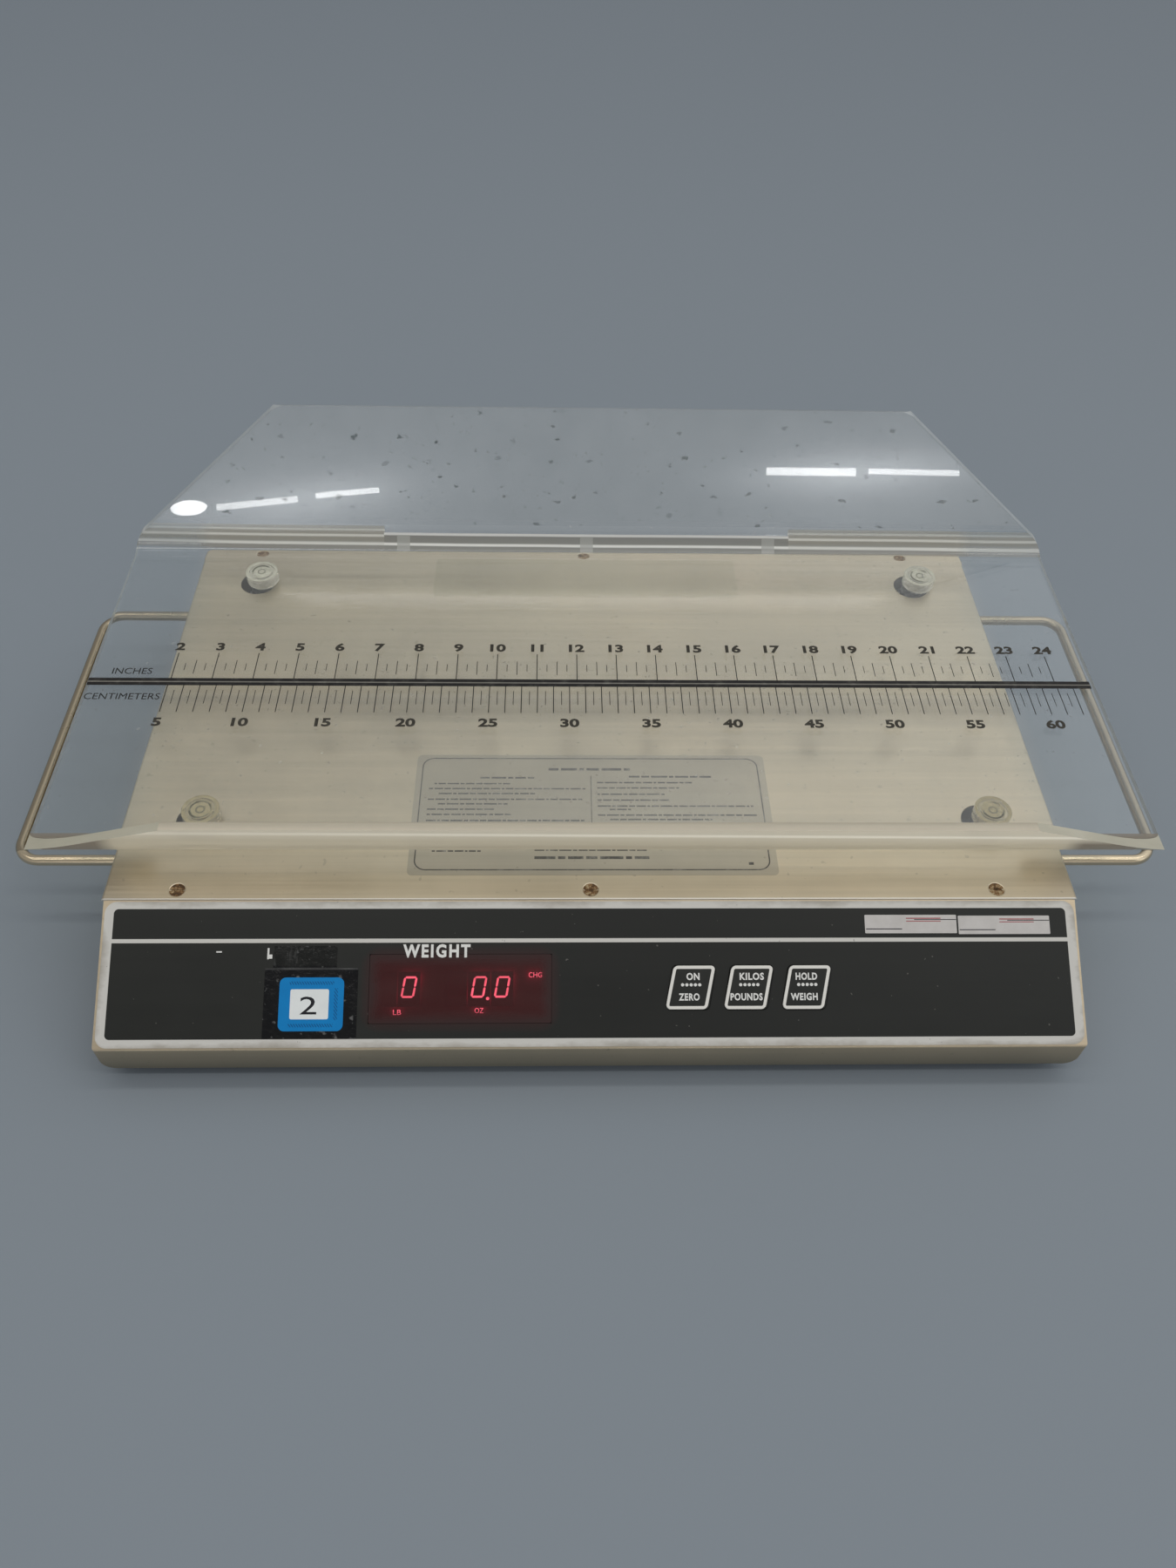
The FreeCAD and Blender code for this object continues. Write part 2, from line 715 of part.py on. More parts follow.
def key(x):
    """Key cap on the panel with a stem that goes through the steel into the switch's well."""
    z_cap = key_lift + key_cap_t
    cap = key_blank(x, 0, key_corner_r, key_lift, z_cap)
    cap = cap.makeFillet(key_rim_r, edges_at_z(cap, z_cap))
    shoulder = z_switch + key_travel + key_reserve
    stem = rod(x, -key_s, shoulder, key_lift, key_stem_d)
    tip = rod(x, -key_s, shoulder - key_tip_h, shoulder, key_tip_d)
    return on_panel(cap.fuse([stem, tip]))


def tact_switches():
    """Snap switches: a square housing with a well that guides the key's tip."""
    switches = []
    half = switch_w / 2
    z_well = z_switch + key_reserve - key_tip_h - switch_well
    for x in key_x:
        body = block(x - half, x + half, -key_s - half, -key_s + half, z_switch - switch_h, z_switch)
        well = rod(x, -key_s, z_well, z_switch + 1, key_tip_d + 2 * key_fit)
        switches.append(on_panel(body.cut(well)))
    return switches


def key_board():
    """Circuit board that carries the three switches."""
    x0, x1 = key_x[0] - key_w / 2 - key_board_margin, key_x[-1] + key_w / 2 + key_board_margin
    half = key_l / 2
    board = block(x0, x1, -key_s - half, -key_s + half, z_key_board - board_t, z_key_board)
    holes = [rod(x, y, z_key_board - board_t - 1, z_key_board + 1, screw_hole_d)
             for x, y in key_stud_places()]
    return on_panel(board.cut(holes))


def key_stud_places():
    x0, x1 = key_x[0] - key_w / 2 - key_board_margin / 2, key_x[-1] + key_w / 2 + key_board_margin / 2
    dy = key_l / 2 - stud_d * 0.7
    return [(x, -key_s + sy * dy) for x in (x0, x1) for sy in (-1, 1)]


def key_studs():
    return [panel_stud(x, y, z_key_board) for x, y in key_stud_places()]


# ---------------------------------------------------------------- load cell and weighing frame
def base_rail():
    """Hat-section rail spot-welded across the pan; the load cell is bolted to its top."""
    half = rail_w / 2
    inner = half - rail_t
    foot = half + rail_foot
    z_low = z_floor + rail_t
    right = [(half, z_rail), (half, z_low), (foot, z_low), (foot, z_floor), (inner, z_floor),
             (inner, z_rail - rail_t)]
    outline = right + [(-y, z) for y, z in reversed(right)]
    x0, x1 = tray_side_play - rail_l / 2, tray_side_play + rail_l / 2
    rail = prism_x([(y_posts + y, z) for y, z in outline], x0, x1)
    return rail.cut([rod(x, y, z_low, z_rail + 1, bolt_hole_d) for x, y in cell_bolt_places(-1)])


def cell_bolt_places(end):
    """Two bolts at one end of the load cell: end -1 is the fixed end, +1 the live end."""
    x = tray_side_play + end * (cell_l / 2 - cell_bolt_edge)
    inner_x = x - end * cell_bolt_pitch
    return [(x, y_posts), (inner_x, y_posts)]


def cell_end_block(end, z0, z1):
    x_end = tray_side_play + end * cell_l / 2
    x0, x1 = sorted((x_end, x_end - end * mount_block_l))
    plate = block(x0, x1, y_posts - cell_w / 2, y_posts + cell_w / 2, z0, z1)
    return plate.cut([rod(x, y, z0 - 1, z1 + 1, bolt_hole_d) for x, y in cell_bolt_places(end)])


def load_cell():
    """Single-point beam with the double-hole window that makes its two thin flexures."""
    x0, x1 = tray_side_play - cell_l / 2, tray_side_play + cell_l / 2
    beam = block(x0, x1, y_posts - cell_w / 2, y_posts + cell_w / 2, z_cell, z_cell_top)
    mid = z_cell + cell_h / 2
    y0, y1 = y_posts - cell_w / 2 - 1, y_posts + cell_w / 2 + 1
    eyes = [rod_y(tray_side_play + side * cell_hole_pitch / 2, mid, y0, y1, cell_hole_d) for side in (-1, 1)]
    slot = block(tray_side_play - cell_hole_pitch / 2, tray_side_play + cell_hole_pitch / 2, y0, y1,
                 mid - cell_slot / 2, mid + cell_slot / 2)
    depth = cell_h / 2
    fixed = [rod(x, y, z_cell - 1, z_cell + depth, bolt_hole_d)
             for x, y in cell_bolt_places(-1)]
    live = [rod(x, y, z_cell_top - depth, z_cell_top + 1, bolt_hole_d)
            for x, y in cell_bolt_places(1)]
    return beam.cut(eyes + [slot] + fixed + live)


def cell_bolts():
    """Bolts from under the rail into the fixed end."""
    z_head = z_rail - rail_t
    bolts = []
    for x, y in cell_bolt_places(-1):
        shank = rod(x, y, z_head, z_cell + cell_h / 2 - bolt_end_gap, cell_bolt_d)
        bolts.append(shank.fuse(hexagon(x, y, z_head - bolt_head_h, z_head, cell_bolt_d)))
    return bolts


def platform_bolts():
    """Bolts from the top of the weighing frame into the live end."""
    bolts = []
    for x, y in cell_bolt_places(1):
        shank = rod(x, y, z_cell_top - cell_h / 2 + bolt_end_gap, z_plate_top, cell_bolt_d)
        bolts.append(shank.fuse(hexagon(x, y, z_plate_top, z_plate_top + bolt_head_h, cell_bolt_d)))
    return bolts


def frame_blank(grow, z0, z1):
    """H-shaped outline of the weighing frame: one cross beam and two end arms."""
    beam_half = frame_beam_w / 2 + grow
    arm_half = frame_arm_w / 2 + grow
    y0, y1 = post_y[0] - frame_overhang - grow, post_y[1] + frame_overhang + grow
    beam = block(post_x[0], post_x[1], y_posts - beam_half, y_posts + beam_half, z0, z1)
    arms = [block(x - arm_half, x + arm_half, y0, y1, z0, z1) for x in post_x]
    return beam.fuse(arms).removeSplitter()


def weighing_frame():
    """Cast aluminium H-frame: a top plate with a flange all round, ribbed inside the arms."""
    z_low = z_plate_top - frame_flange_h
    frame = frame_blank(0, z_low, z_plate_top)
    frame = frame.makeFillet(frame_corner_r, edges_along(frame, V(0, 0, 1)))
    hollow = frame_blank(-frame_wall, z_low - 1, z_plate)
    frame = frame.cut(hollow)
    ribs = []
    for x in post_x:
        for y in (y_posts - frame_beam_w / 2, y_posts + frame_beam_w / 2):
            half = frame_arm_w / 2 - frame_wall
            ribs.append(block(x - half, x + half, y - frame_wall / 2, y + frame_wall / 2,
                              z_low + frame_rib_rise, z_plate))
    frame = frame.fuse(ribs).removeSplitter()
    holes = [rod(x, y, z_low, z_plate_top + 1, bolt_hole_d) for x, y in cell_bolt_places(1)]
    holes += [rod(x, y, z_low, z_plate_top + 1, screw_hole_d) for x, y in post_places]
    return frame.cut(holes)


def post_sockets():
    """Black nylon cups screwed to the frame; the tray's pins stand in them."""
    cups = []
    for x, y in post_places:
        z_rim = z_plate_top + socket_h
        cup = rod(x, y, z_plate_top, z_rim, socket_d)
        cup = cup.makeChamfer(socket_chamfer, edges_at_z(cup, z_rim))
        bore = rod(x, y, z_socket_floor, z_rim + 1, pin_d + 2 * socket_fit)
        screw = rod(x, y, z_plate_top - 1, z_socket_floor + 1, small_screw_d)
        cups.append(cup.cut([bore, screw]))
    return cups


def socket_screws():
    """Screws from under the frame into the cups, ending just below the floor that the pins stand on."""
    screws = []
    for x, y in post_places:
        shank = rod(x, y, z_plate, z_socket_floor - thread_fit, small_screw_d)
        screws.append(shank.fuse(rod(x, y, z_plate - small_head_h, z_plate, small_head_d)))
    return screws


def stop_places():
    return [(x, y + stop_inset * (1 if y < y_posts else -1)) for x, y in post_places]


def overload_stops():
    """Studs that catch the frame before the load cell can be bent too far."""
    top = z_plate - platform_travel - stop_reserve
    studs = []
    for x, y in stop_places():
        stud = rod(x, y, z_floor, top, stop_d)
        studs.append(stud.makeChamfer(stop_chamfer, edges_at_z(stud, top)))
    return studs


def stop_nuts():
    return [nut_on_floor(x, y, stop_d) for x, y in stop_places()]


# ---------------------------------------------------------------- tray
def tray():
    """One clear sheet bent twice: a low front lip and a leaning back wall with slanted corners."""
    lean_y, lean_z = math.sin(wall_lean_rad), math.cos(wall_lean_rad)
    wall_top = (y_wall + wall_h * lean_y, z_tray_top + wall_h * lean_z)
    outer_top = (wall_top[0] + tray_t * lean_z, wall_top[1] - tray_t * lean_y)
    back = tray_t * lean_z - tray_t * (1 - lean_y) / lean_z * lean_y
    lip_top = z_tray_top + tray_lip_h
    outline = [(y_lip, lip_top), (y_lip, z_tray), (y_wall + back, z_tray), outer_top, wall_top,
               (y_wall, z_tray_top), (y_lip + tray_t, z_tray_top), (y_lip + tray_t, lip_top)]
    x0, x1 = tray_side_play - tray_w / 2, tray_side_play + tray_w / 2
    sheet_body = prism_x(outline, x0, x1)
    bends = [((y_lip, z_tray), front_bend_r + tray_t), ((y_lip + tray_t, z_tray_top), front_bend_r),
             ((y_wall + back, z_tray), rear_bend_r + tray_t), ((y_wall, z_tray_top), rear_bend_r)]
    for (y, z), r in bends:
        edge = edges_along(sheet_body, V(1, 0, 0), lambda p: math.hypot(p.y - y, p.z - z) < 0.01)
        sheet_body = sheet_body.makeFillet(r, edge)
    z_cut = z_tray_top + wall_base_h * lean_z
    cuts = []
    for side in (-1, 1):
        end = tray_side_play + side * tray_w / 2
        upper, lower = (end - side * wall_cut_w, wall_top[1]), (end, z_cut)
        cuts.append(slanted_corner(upper, lower, side, y_wall - rear_bend_r, outer_top[0] + 1))
        upper_lip, lower_lip = (end - side * tray_lip_taper, lip_top), (end, z_tray_top)
        cuts.append(prism_y(beyond_line(upper_lip, lower_lip), y_lip - 1, y_lip + tray_t + front_bend_r))
    return sheet_body.cut(cuts)


def slanted_corner(upper, lower, side, y0, y1):
    """What the slanted corner takes off the back wall: both of its ends run out in an arc."""
    top, foot = V(upper[0], y0, upper[1]), V(lower[0], y0, lower[1])
    above = V(top.x, y0, top.z + tray_t)
    inward, beyond, down = V(-side, 0, 0), V(side * tray_t, 0, 0), V(0, 0, -1)
    high = corner_arc(top + inward, top, foot, wall_corner_r)
    low = corner_arc(top, foot, foot + down, wall_foot_r)
    corners = [low[2], low[2] + beyond, V(foot.x, y0, above.z) + beyond, V(high[0].x, y0, above.z), high[0]]
    sides = [Part.LineSegment(a, b).toShape() for a, b in zip(corners, corners[1:])]
    slant = [Part.Arc(*high).toShape(), Part.LineSegment(high[2], low[0]).toShape(), Part.Arc(*low).toShape()]
    return Part.Face(Part.Wire(slant + sides)).extrude(V(0, y1 - y0, 0))


def corner_arc(before, corner, after, r):
    """Start, middle and end of the arc that rounds the corner between two straight runs."""
    back, on = (before - corner).normalize(), (after - corner).normalize()
    half = back.getAngle(on) / 2
    bisector = (back + on).normalize()
    reach = r / math.tan(half)
    return corner + back * reach, corner + bisector * (r / math.sin(half) - r), corner + on * reach


def beyond_line(upper, lower):
    """Outline of what lies outside a slanted edge, which it passes at both ends."""
    run, fall = lower[0] - upper[0], upper[1] - lower[1]
    start = (upper[0] - 0.1 * run, upper[1] + 0.1 * fall)
    end = (lower[0] + 0.1 * run, lower[1] - 0.1 * fall)
    return [start, end, (end[0], start[1])]


def tray_posts():
    """Clear plastic posts bonded under the tray, each with a shallow ring and a bore for its pin."""
    posts = []
    for x, y in post_places:
        post = rod(x, y, z_post, z_tray, post_d)
        post = post.makeFillet(post_rim_r, edges_at_z(post, z_post))
        ring = rod(x, y, z_tray - post_ring_depth, z_tray + 1, post_ring_d)
        core = rod(x, y, z_tray - post_ring_depth, z_tray + 1, post_ring_d - 2 * post_ring_w)
        bore = rod(x, y, z_post - 1, z_post + spigot_h, spigot_d)
        posts.append(post.cut([ring.cut(core), bore]))
    return posts


def post_pins():
    """Steel pins pressed into the posts; their flat ends stand on the floor of the sockets."""
    pins = []
    for x, y in post_places:
        pin = rod(x, y, z_socket_floor, z_post, pin_d)
        pin = pin.makeChamfer(pin_chamfer, edges_at_z(pin, z_socket_floor))
        pins.append(pin.fuse(rod(x, y, z_post, z_post + spigot_h, spigot_d)))
    return pins


# ---------------------------------------------------------------- electronics and power
def battery_box():
    y0 = y_edge + battery_front
    return battery_x - battery_l / 2, battery_x + battery_l / 2, y0, y0 + battery_w


def battery():
    """Sealed lead battery lying on its side, with a groove round it where the lid is welded on."""
    x0, x1, y0, y1 = battery_box()
    case = block(x0, x1, y0, y1, z_floor, z_floor + battery_h)
    case = case.makeFillet(battery_corner_r, edges_along(case, V(1, 0, 0)))
    g0, g1 = x1 - battery_lid_t - battery_groove, x1 - battery_lid_t
    depth = battery_groove_depth
    groove = block(g0, g1, y0 - 1, y1 + 1, z_floor - 1, z_floor + battery_h + 1)
    core = block(g0 - 1, g1 + 1, y0 + depth, y1 - depth, z_floor + depth, z_floor + battery_h - depth)
    return case.cut(groove.cut(core))


def battery_tabs():
    _, x1, y0, y1 = battery_box()
    z = z_floor + battery_h / 2
    return [block(x1, x1 + tab_h, y - tab_w / 2, y + tab_w / 2, z - tab_t / 2, z + tab_t / 2)
            for y in (y0 + tab_inset, y1 - tab_inset)]


def battery_strap():
    """Bent steel strap over the battery, screwed to the pan on both sides."""
    _, _, y0, y1 = battery_box()
    z_under, z_low = z_floor + battery_h, z_floor + strap_t
    in0, in1 = y0 - strap_gap, y1 + strap_gap
    out0, out1 = in0 - strap_t, in1 + strap_t
    foot0, foot1 = out0 - strap_foot, out1 + strap_foot
    z_over = z_under + strap_t
    inside = [(in0, z_floor), (in0, z_under), (in1, z_under), (in1, z_floor)]
    outside = [(out1, z_low), (out1, z_over), (out0, z_over), (out0, z_low)]
    foot_ends = [[(foot0, z_low), (foot0, z_floor)], [(foot1, z_floor), (foot1, z_low)]]
    outline = foot_ends[0] + inside + foot_ends[1] + outside
    strap = prism_x(outline, battery_x - strap_w / 2, battery_x + strap_w / 2)
    return strap.cut([rod(x, y, z_floor - 1, z_low + 1, screw_hole_d)
                      for x, y in strap_screw_places()])


def strap_screw_places():
    _, _, y0, y1 = battery_box()
    reach = strap_gap + strap_t + strap_foot / 2
    return [(battery_x, y0 - reach), (battery_x, y1 + reach)]


def floor_screw(x, y, held_t):
    """Self-tapping screw through a foot of this thickness and the floor of the pan."""
    length = held_t + sheet + floor_screw_past
    return slotted_screw(x, y, z_floor + held_t, length, small_screw_d, small_head_d, small_head_h)


def strap_screws():
    return [floor_screw(x, y, strap_t) for x, y in strap_screw_places()]


def core_box():
    y1 = rear_in - core_rear + core_w / 2
    return core_x - core_l / 2, core_x + core_l / 2, y1 - core_w, y1


def transformer_core():
    """Laminated E-I core on feet, with two windows for the winding."""
    x0, x1, y0, y1 = core_box()
    z0 = z_floor
    stack = block(x0, x1, y0, y1, z0, z0 + core_h)
    leg = core_l / 6
    windows = [block(x0 + leg, x0 + 2 * leg, y0 - 1, y1 + 1, z0 + leg, z0 + core_h - leg),
               block(x1 - 2 * leg, x1 - leg, y0 - 1, y1 + 1, z0 + leg, z0 + core_h - leg)]
    feet = [block(x, x + core_foot_w, y0 + core_foot_inset, y1 - core_foot_inset, z0, z0 + core_foot_t)
            for x in (x0 - core_foot_w, x1)]
    stack = stack.cut(windows).fuse(feet)
    return stack.cut([rod(x, y, z0 - 1, z0 + core_foot_t + 1, screw_hole_d)
                      for x, y in core_screw_places()])


def core_screw_places():
    x0, x1, y0, y1 = core_box()
    middle = (y0 + y1) / 2
    return [(x0 - core_foot_w / 2, middle), (x1 + core_foot_w / 2, middle)]


def core_screws():
    return [floor_screw(x, y, core_foot_t) for x, y in core_screw_places()]


def transformer_coil():
    """Winding on the middle leg, standing out in front of and behind the core."""
    x0, x1, y0, y1 = core_box()
    leg = core_l / 6
    z0, z1 = z_floor + leg + coil_fit, z_floor + core_h - leg - coil_fit
    left, right = x0 + leg + coil_fit, x1 - leg - coil_fit
    coil = block(left, right, y0 - coil_bulge, y1 + coil_bulge, z0, z1)
    coil = coil.makeFillet(coil_corner_r, edges_along(coil, V(0, 0, 1)))
    in0, in1 = x0 + 2 * leg - coil_fit, x1 - 2 * leg + coil_fit
    return coil.cut(block(in0, in1, y0 - coil_fit, y1 + coil_fit, z0 - 1, z1 + 1))


def inlet_outline(grow, y0, y1):
    """Socket outline: a rectangle with two cut corners, as (x, z)."""
    w, h, cut = inlet_w / 2 + grow, inlet_h / 2 + grow, inlet_corner
    right = [(w, -h), (w, h - cut), (w - cut, h)]
    outline = right + [(-x, z) for x, z in reversed(right)]
    return prism_y([(inlet_x + x, inlet_z + z) for x, z in outline], y0, y1)


def power_inlet():
    """Mains inlet socket: flange outside the rear wall, body through it, open to the rear."""
    y_inner = y_inlet - inlet_depth
    body = inlet_outline(0, y_inner, y_inlet)
    half_w, half_h = inlet_flange_w / 2, inlet_h / 2 + inlet_flange_rim
    flange = block(inlet_x - half_w, inlet_x + half_w, pan_rear, y_inlet, inlet_z - half_h, inlet_z + half_h)
    flange = flange.makeFillet(cover_corner_r, edges_along(flange, V(0, 1, 0)))
    cavity = inlet_outline(-inlet_wall, y_inner + inlet_floor, y_inlet + 1)
    slots = [pin_block(x, z, y_inner - 1, y_inlet) for x, z in pin_places()]
    return body.fuse(flange).cut([cavity] + inlet_screw_holes(pan_rear - 1, y_inlet + 1) + slots)


def inlet_screw_places():
    return [inlet_x - inlet_screw_pitch / 2, inlet_x + inlet_screw_pitch / 2]


def inlet_screw_holes(y0, y1):
    return [rod_y(x, inlet_z, y0, y1, screw_hole_d) for x in inlet_screw_places()]


def pin_places():
    low, high = inlet_z - pin_drop, inlet_z + pin_drop
    return [(inlet_x - pin_side, low), (inlet_x + pin_side, low), (inlet_x, high)]


def pin_block(x, z, y0, y1):
    return block(x - pin_w / 2, x + pin_w / 2, y0, y1, z - pin_h / 2, z + pin_h / 2)


def inlet_pins():
    return [pin_block(x, z, y_inlet - inlet_depth - pin_tail, y_inlet - pin_recess) for x, z in pin_places()]


def inlet_screws():
    """Two slotted screws through the flange and the rear wall."""
    screws = []
    for x in inlet_screw_places():
        shank = rod_y(x, inlet_z, y_inlet - inlet_screw_l, y_inlet, small_screw_d)
        y_top = y_inlet + small_head_h
        head = rod_y(x, inlet_z, y_inlet, y_top, small_head_d)
        slot = block(x - small_head_d, x + small_head_d, y_top - slot_depth, y_top + 1,
                     inlet_z - slot_w / 2, inlet_z + slot_w / 2)
        screws.append(shank.fuse(head).cut(slot))
    return screws


def fuse_holder():
    """Panel fuse holder: body inside, flanged cap with a coin slot outside."""
    y_cap = pan_rear + fuse_cap_h
    body = rod_y(fuse_x, inlet_z, pan_rear - fuse_l, pan_rear, fuse_d)
    cap = rod_y(fuse_x, inlet_z, pan_rear, y_cap, fuse_cap_d)
    cap = cap.makeChamfer(pin_chamfer, [e for e in cap.Edges if abs(e.CenterOfMass.y - y_cap) < 0.01])
    slot = block(fuse_x - fuse_slot_l / 2, fuse_x + fuse_slot_l / 2, y_cap - fuse_slot_depth, y_cap + 1,
                 inlet_z - fuse_slot_w / 2, inlet_z + fuse_slot_w / 2)
    return body.fuse(cap).cut(slot)


def board_box():
    """The main board lies midway between the foot of the rail and the rear wall."""
    x0 = main_board_side - wall_in
    middle = (y_posts + rail_w / 2 + rail_foot + rear_in) / 2
    return x0, x0 + main_board_l, middle - main_board_w / 2, middle + main_board_w / 2


def board_corners():
    x0, x1, y0, y1 = board_box()
    inner = standoff_inset
    return [(x, y) for x in (x0 + inner, x1 - inner) for y in (y0 + inner, y1 - inner)]


def main_board():
    x0, x1, y0, y1 = board_box()
    z0 = z_board - board_t
    board = block(x0, x1, y0, y1, z0, z_board)
    return board.cut([rod(x, y, z0 - 1, z_board + 1, screw_hole_d) for x, y in board_corners()])


def board_standoffs():
    z_top = z_floor + standoff_h
    return [rod(x, y, z_floor, z_top, standoff_d).cut(rod(x, y, z_floor + 1, z_top + 1, small_screw_d))
            for x, y in board_corners()]


def board_screws():
    return [slotted_screw(x, y, z_board, board_t + screw_past, small_screw_d, small_head_d, small_head_h)
            for x, y in board_corners()]


def board_chips():
    """Socketed chips in three sizes and the pin header for the display cable."""
    x0, _, y0, _ = board_box()
    z_top = z_board + chip_h
    return [block(x0 + x, x0 + x + w, y0 + y, y0 + y + d, z_board, z_top) for x, y, w, d in chip_plan]


def board_capacitors():
    x0, _, y0, _ = board_box()
    return [rod(x0 + x, y0 + y, z_board, z_board + h, d) for x, y, d, h in capacitor_plan]


def heat_sink():
    """Finned regulator heat sink at the edge of the main board."""
    x0, _, y0, _ = board_box()
    x_sink, y_sink = x0 + sink_x, y0 + sink_y
    z_top = z_board + sink_h
    width = (fin_count - 1) * fin_pitch + fin_t
    y_fin = y_sink + fin_t
    plate = block(x_sink, x_sink + width, y_sink, y_fin, z_board, z_top)
    fins = []
    for i in range(fin_count):
        x = x_sink + i * fin_pitch
        fins.append(block(x, x + fin_t, y_fin, y_fin + fin_l, z_board, z_top))
    return plate.fuse(fins).removeSplitter()


def main():
    os.makedirs("parts", exist_ok=True)
    save("base_pan", base_pan())
    save("top_cover", top_cover())
    save("deck_screws", *deck_screws())
    save("deck_nuts", *deck_nuts())
    save("rubber_feet", *rubber_feet())
    save("foot_screws", *foot_screws())
    save("foot_nuts", *foot_nuts())
    save("left_handle", handle(-1))
    save("right_handle", handle(1))
    save("handle_nuts", *handle_nuts())
    save("handle_washers", *handle_washers())
    save("control_overlay", control_overlay())
    save("display_window", display_window())
    save("display_board", display_board())
    save("display_studs", *display_studs())
    save("display_digits", *display_digits())
    save("unit_lamps", *unit_lamps())
    for name, x in zip(("key_zero", "key_units", "key_hold"), key_x):
        save(name, key(x))
    save("tact_switches", *tact_switches())
    save("key_board", key_board())
    save("key_studs", *key_studs())
    save("base_rail", base_rail())
    save("cell_mount_block", cell_end_block(-1, z_rail, z_cell))
    save("load_cell", load_cell())
    save("cell_bolts", *cell_bolts())
    save("platform_block", cell_end_block(1, z_cell_top, z_plate))
    save("platform_bolts", *platform_bolts())
    save("weighing_frame", weighing_frame())
    save("post_sockets", *post_sockets())
    save("socket_screws", *socket_screws())
    save("overload_stops", *overload_stops())
    save("stop_nuts", *stop_nuts())
    save("tray", tray())
    save("tray_posts", *tray_posts())
    save("post_pins", *post_pins())
    save("battery", battery())
    save("battery_tabs", *battery_tabs())
    save("battery_strap", battery_strap())
    save("strap_screws", *strap_screws())
    save("transformer_core", transformer_core())
    save("transformer_coil", transformer_coil())
    save("core_screws", *core_screws())
    save("power_inlet", power_inlet())
    save("inlet_pins", *inlet_pins())
    save("inlet_screws", *inlet_screws())
    save("fuse_holder", fuse_holder())
    save("main_board", main_board())
    save("board_standoffs", *board_standoffs())
    save("board_screws", *board_screws())
    save("board_chips", *board_chips())
    save("board_capacitors", *board_capacitors())
    save("heat_sink", heat_sink())


main()
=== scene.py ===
import math

import bmesh
import bpy
from mathutils import Matrix, Vector


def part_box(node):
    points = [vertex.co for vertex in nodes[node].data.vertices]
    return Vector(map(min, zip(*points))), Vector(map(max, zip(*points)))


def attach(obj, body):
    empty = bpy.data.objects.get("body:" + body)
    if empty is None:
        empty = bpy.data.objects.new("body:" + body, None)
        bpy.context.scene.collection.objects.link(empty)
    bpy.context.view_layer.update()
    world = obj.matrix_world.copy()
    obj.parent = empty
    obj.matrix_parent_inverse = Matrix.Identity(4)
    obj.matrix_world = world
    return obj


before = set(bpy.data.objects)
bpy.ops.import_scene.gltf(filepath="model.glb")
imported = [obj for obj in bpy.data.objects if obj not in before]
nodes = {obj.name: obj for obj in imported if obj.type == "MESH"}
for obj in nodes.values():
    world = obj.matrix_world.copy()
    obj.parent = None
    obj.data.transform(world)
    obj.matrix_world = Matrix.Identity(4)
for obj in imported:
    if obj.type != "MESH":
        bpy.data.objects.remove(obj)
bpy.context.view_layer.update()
MM = 0.001


# -------------------- camera, floor and light
# The camera looks down on the scale from the operator's side, a little left of its middle.
# Pixels are those of a 1350 x 1800 picture.
view_height = 1800
focal_length = 1329.6
sensor = 36.0
look_down = math.radians(49.386)
look_right = math.radians(2.396)
head_tilt = math.radians(1.911)
eye = Vector((-21.3, -500.7, 598.7)) * MM

camera = bpy.data.objects.new("camera", bpy.data.cameras.new("camera"))
bpy.context.scene.collection.objects.link(camera)
camera.data.sensor_width = sensor
camera.data.lens = sensor * focal_length / view_height
camera.data.clip_start = 0.01
camera.matrix_world = (
    Matrix.Translation(eye)
    @ Matrix.Rotation(-look_right, 4, "Z")
    @ Matrix.Rotation(math.pi / 2 - look_down, 4, "X")
    @ Matrix.Rotation(head_tilt, 4, "Z")
)
bpy.context.scene.camera = camera
bpy.context.scene.view_settings.view_transform = "Standard"

# A plain pale floor, and soft light: a pale room that is brighter to the right and behind, two long
# strips that the bends of the acrylic draw out into lines, and rows of narrow tubes far in front,
# each in a glow of its own, which the leaning wall mirrors as bright dashes. A glow is given by the
# way to it across and up, how steeply it rises, its half width and half height, and its strength.
floor_size = 14.0
floor_tone = (0.262, 0.298, 0.332, 1)
room_tone = (0.94, 0.965, 1.0, 1)
room_light = 0.33
bright_way = (0.60, 0.35, 0.72)
bright_light = 0.49
glow_fade = 0.37  # what is left of a glow at its half width
glows = ((-0.20, 0.243, 0.19, 0.07, 0.013, 1.9), (-0.21, 0.235, 0.19, 0.10, 0.034, 1.4),
         (0.245, 0.263, -0.02, 0.075, 0.013, 2.8), (0.245, 0.257, -0.02, 0.10, 0.036, 1.1),
         (0.0, 0.26, 0.0, 0.6, 0.14, 0.35))


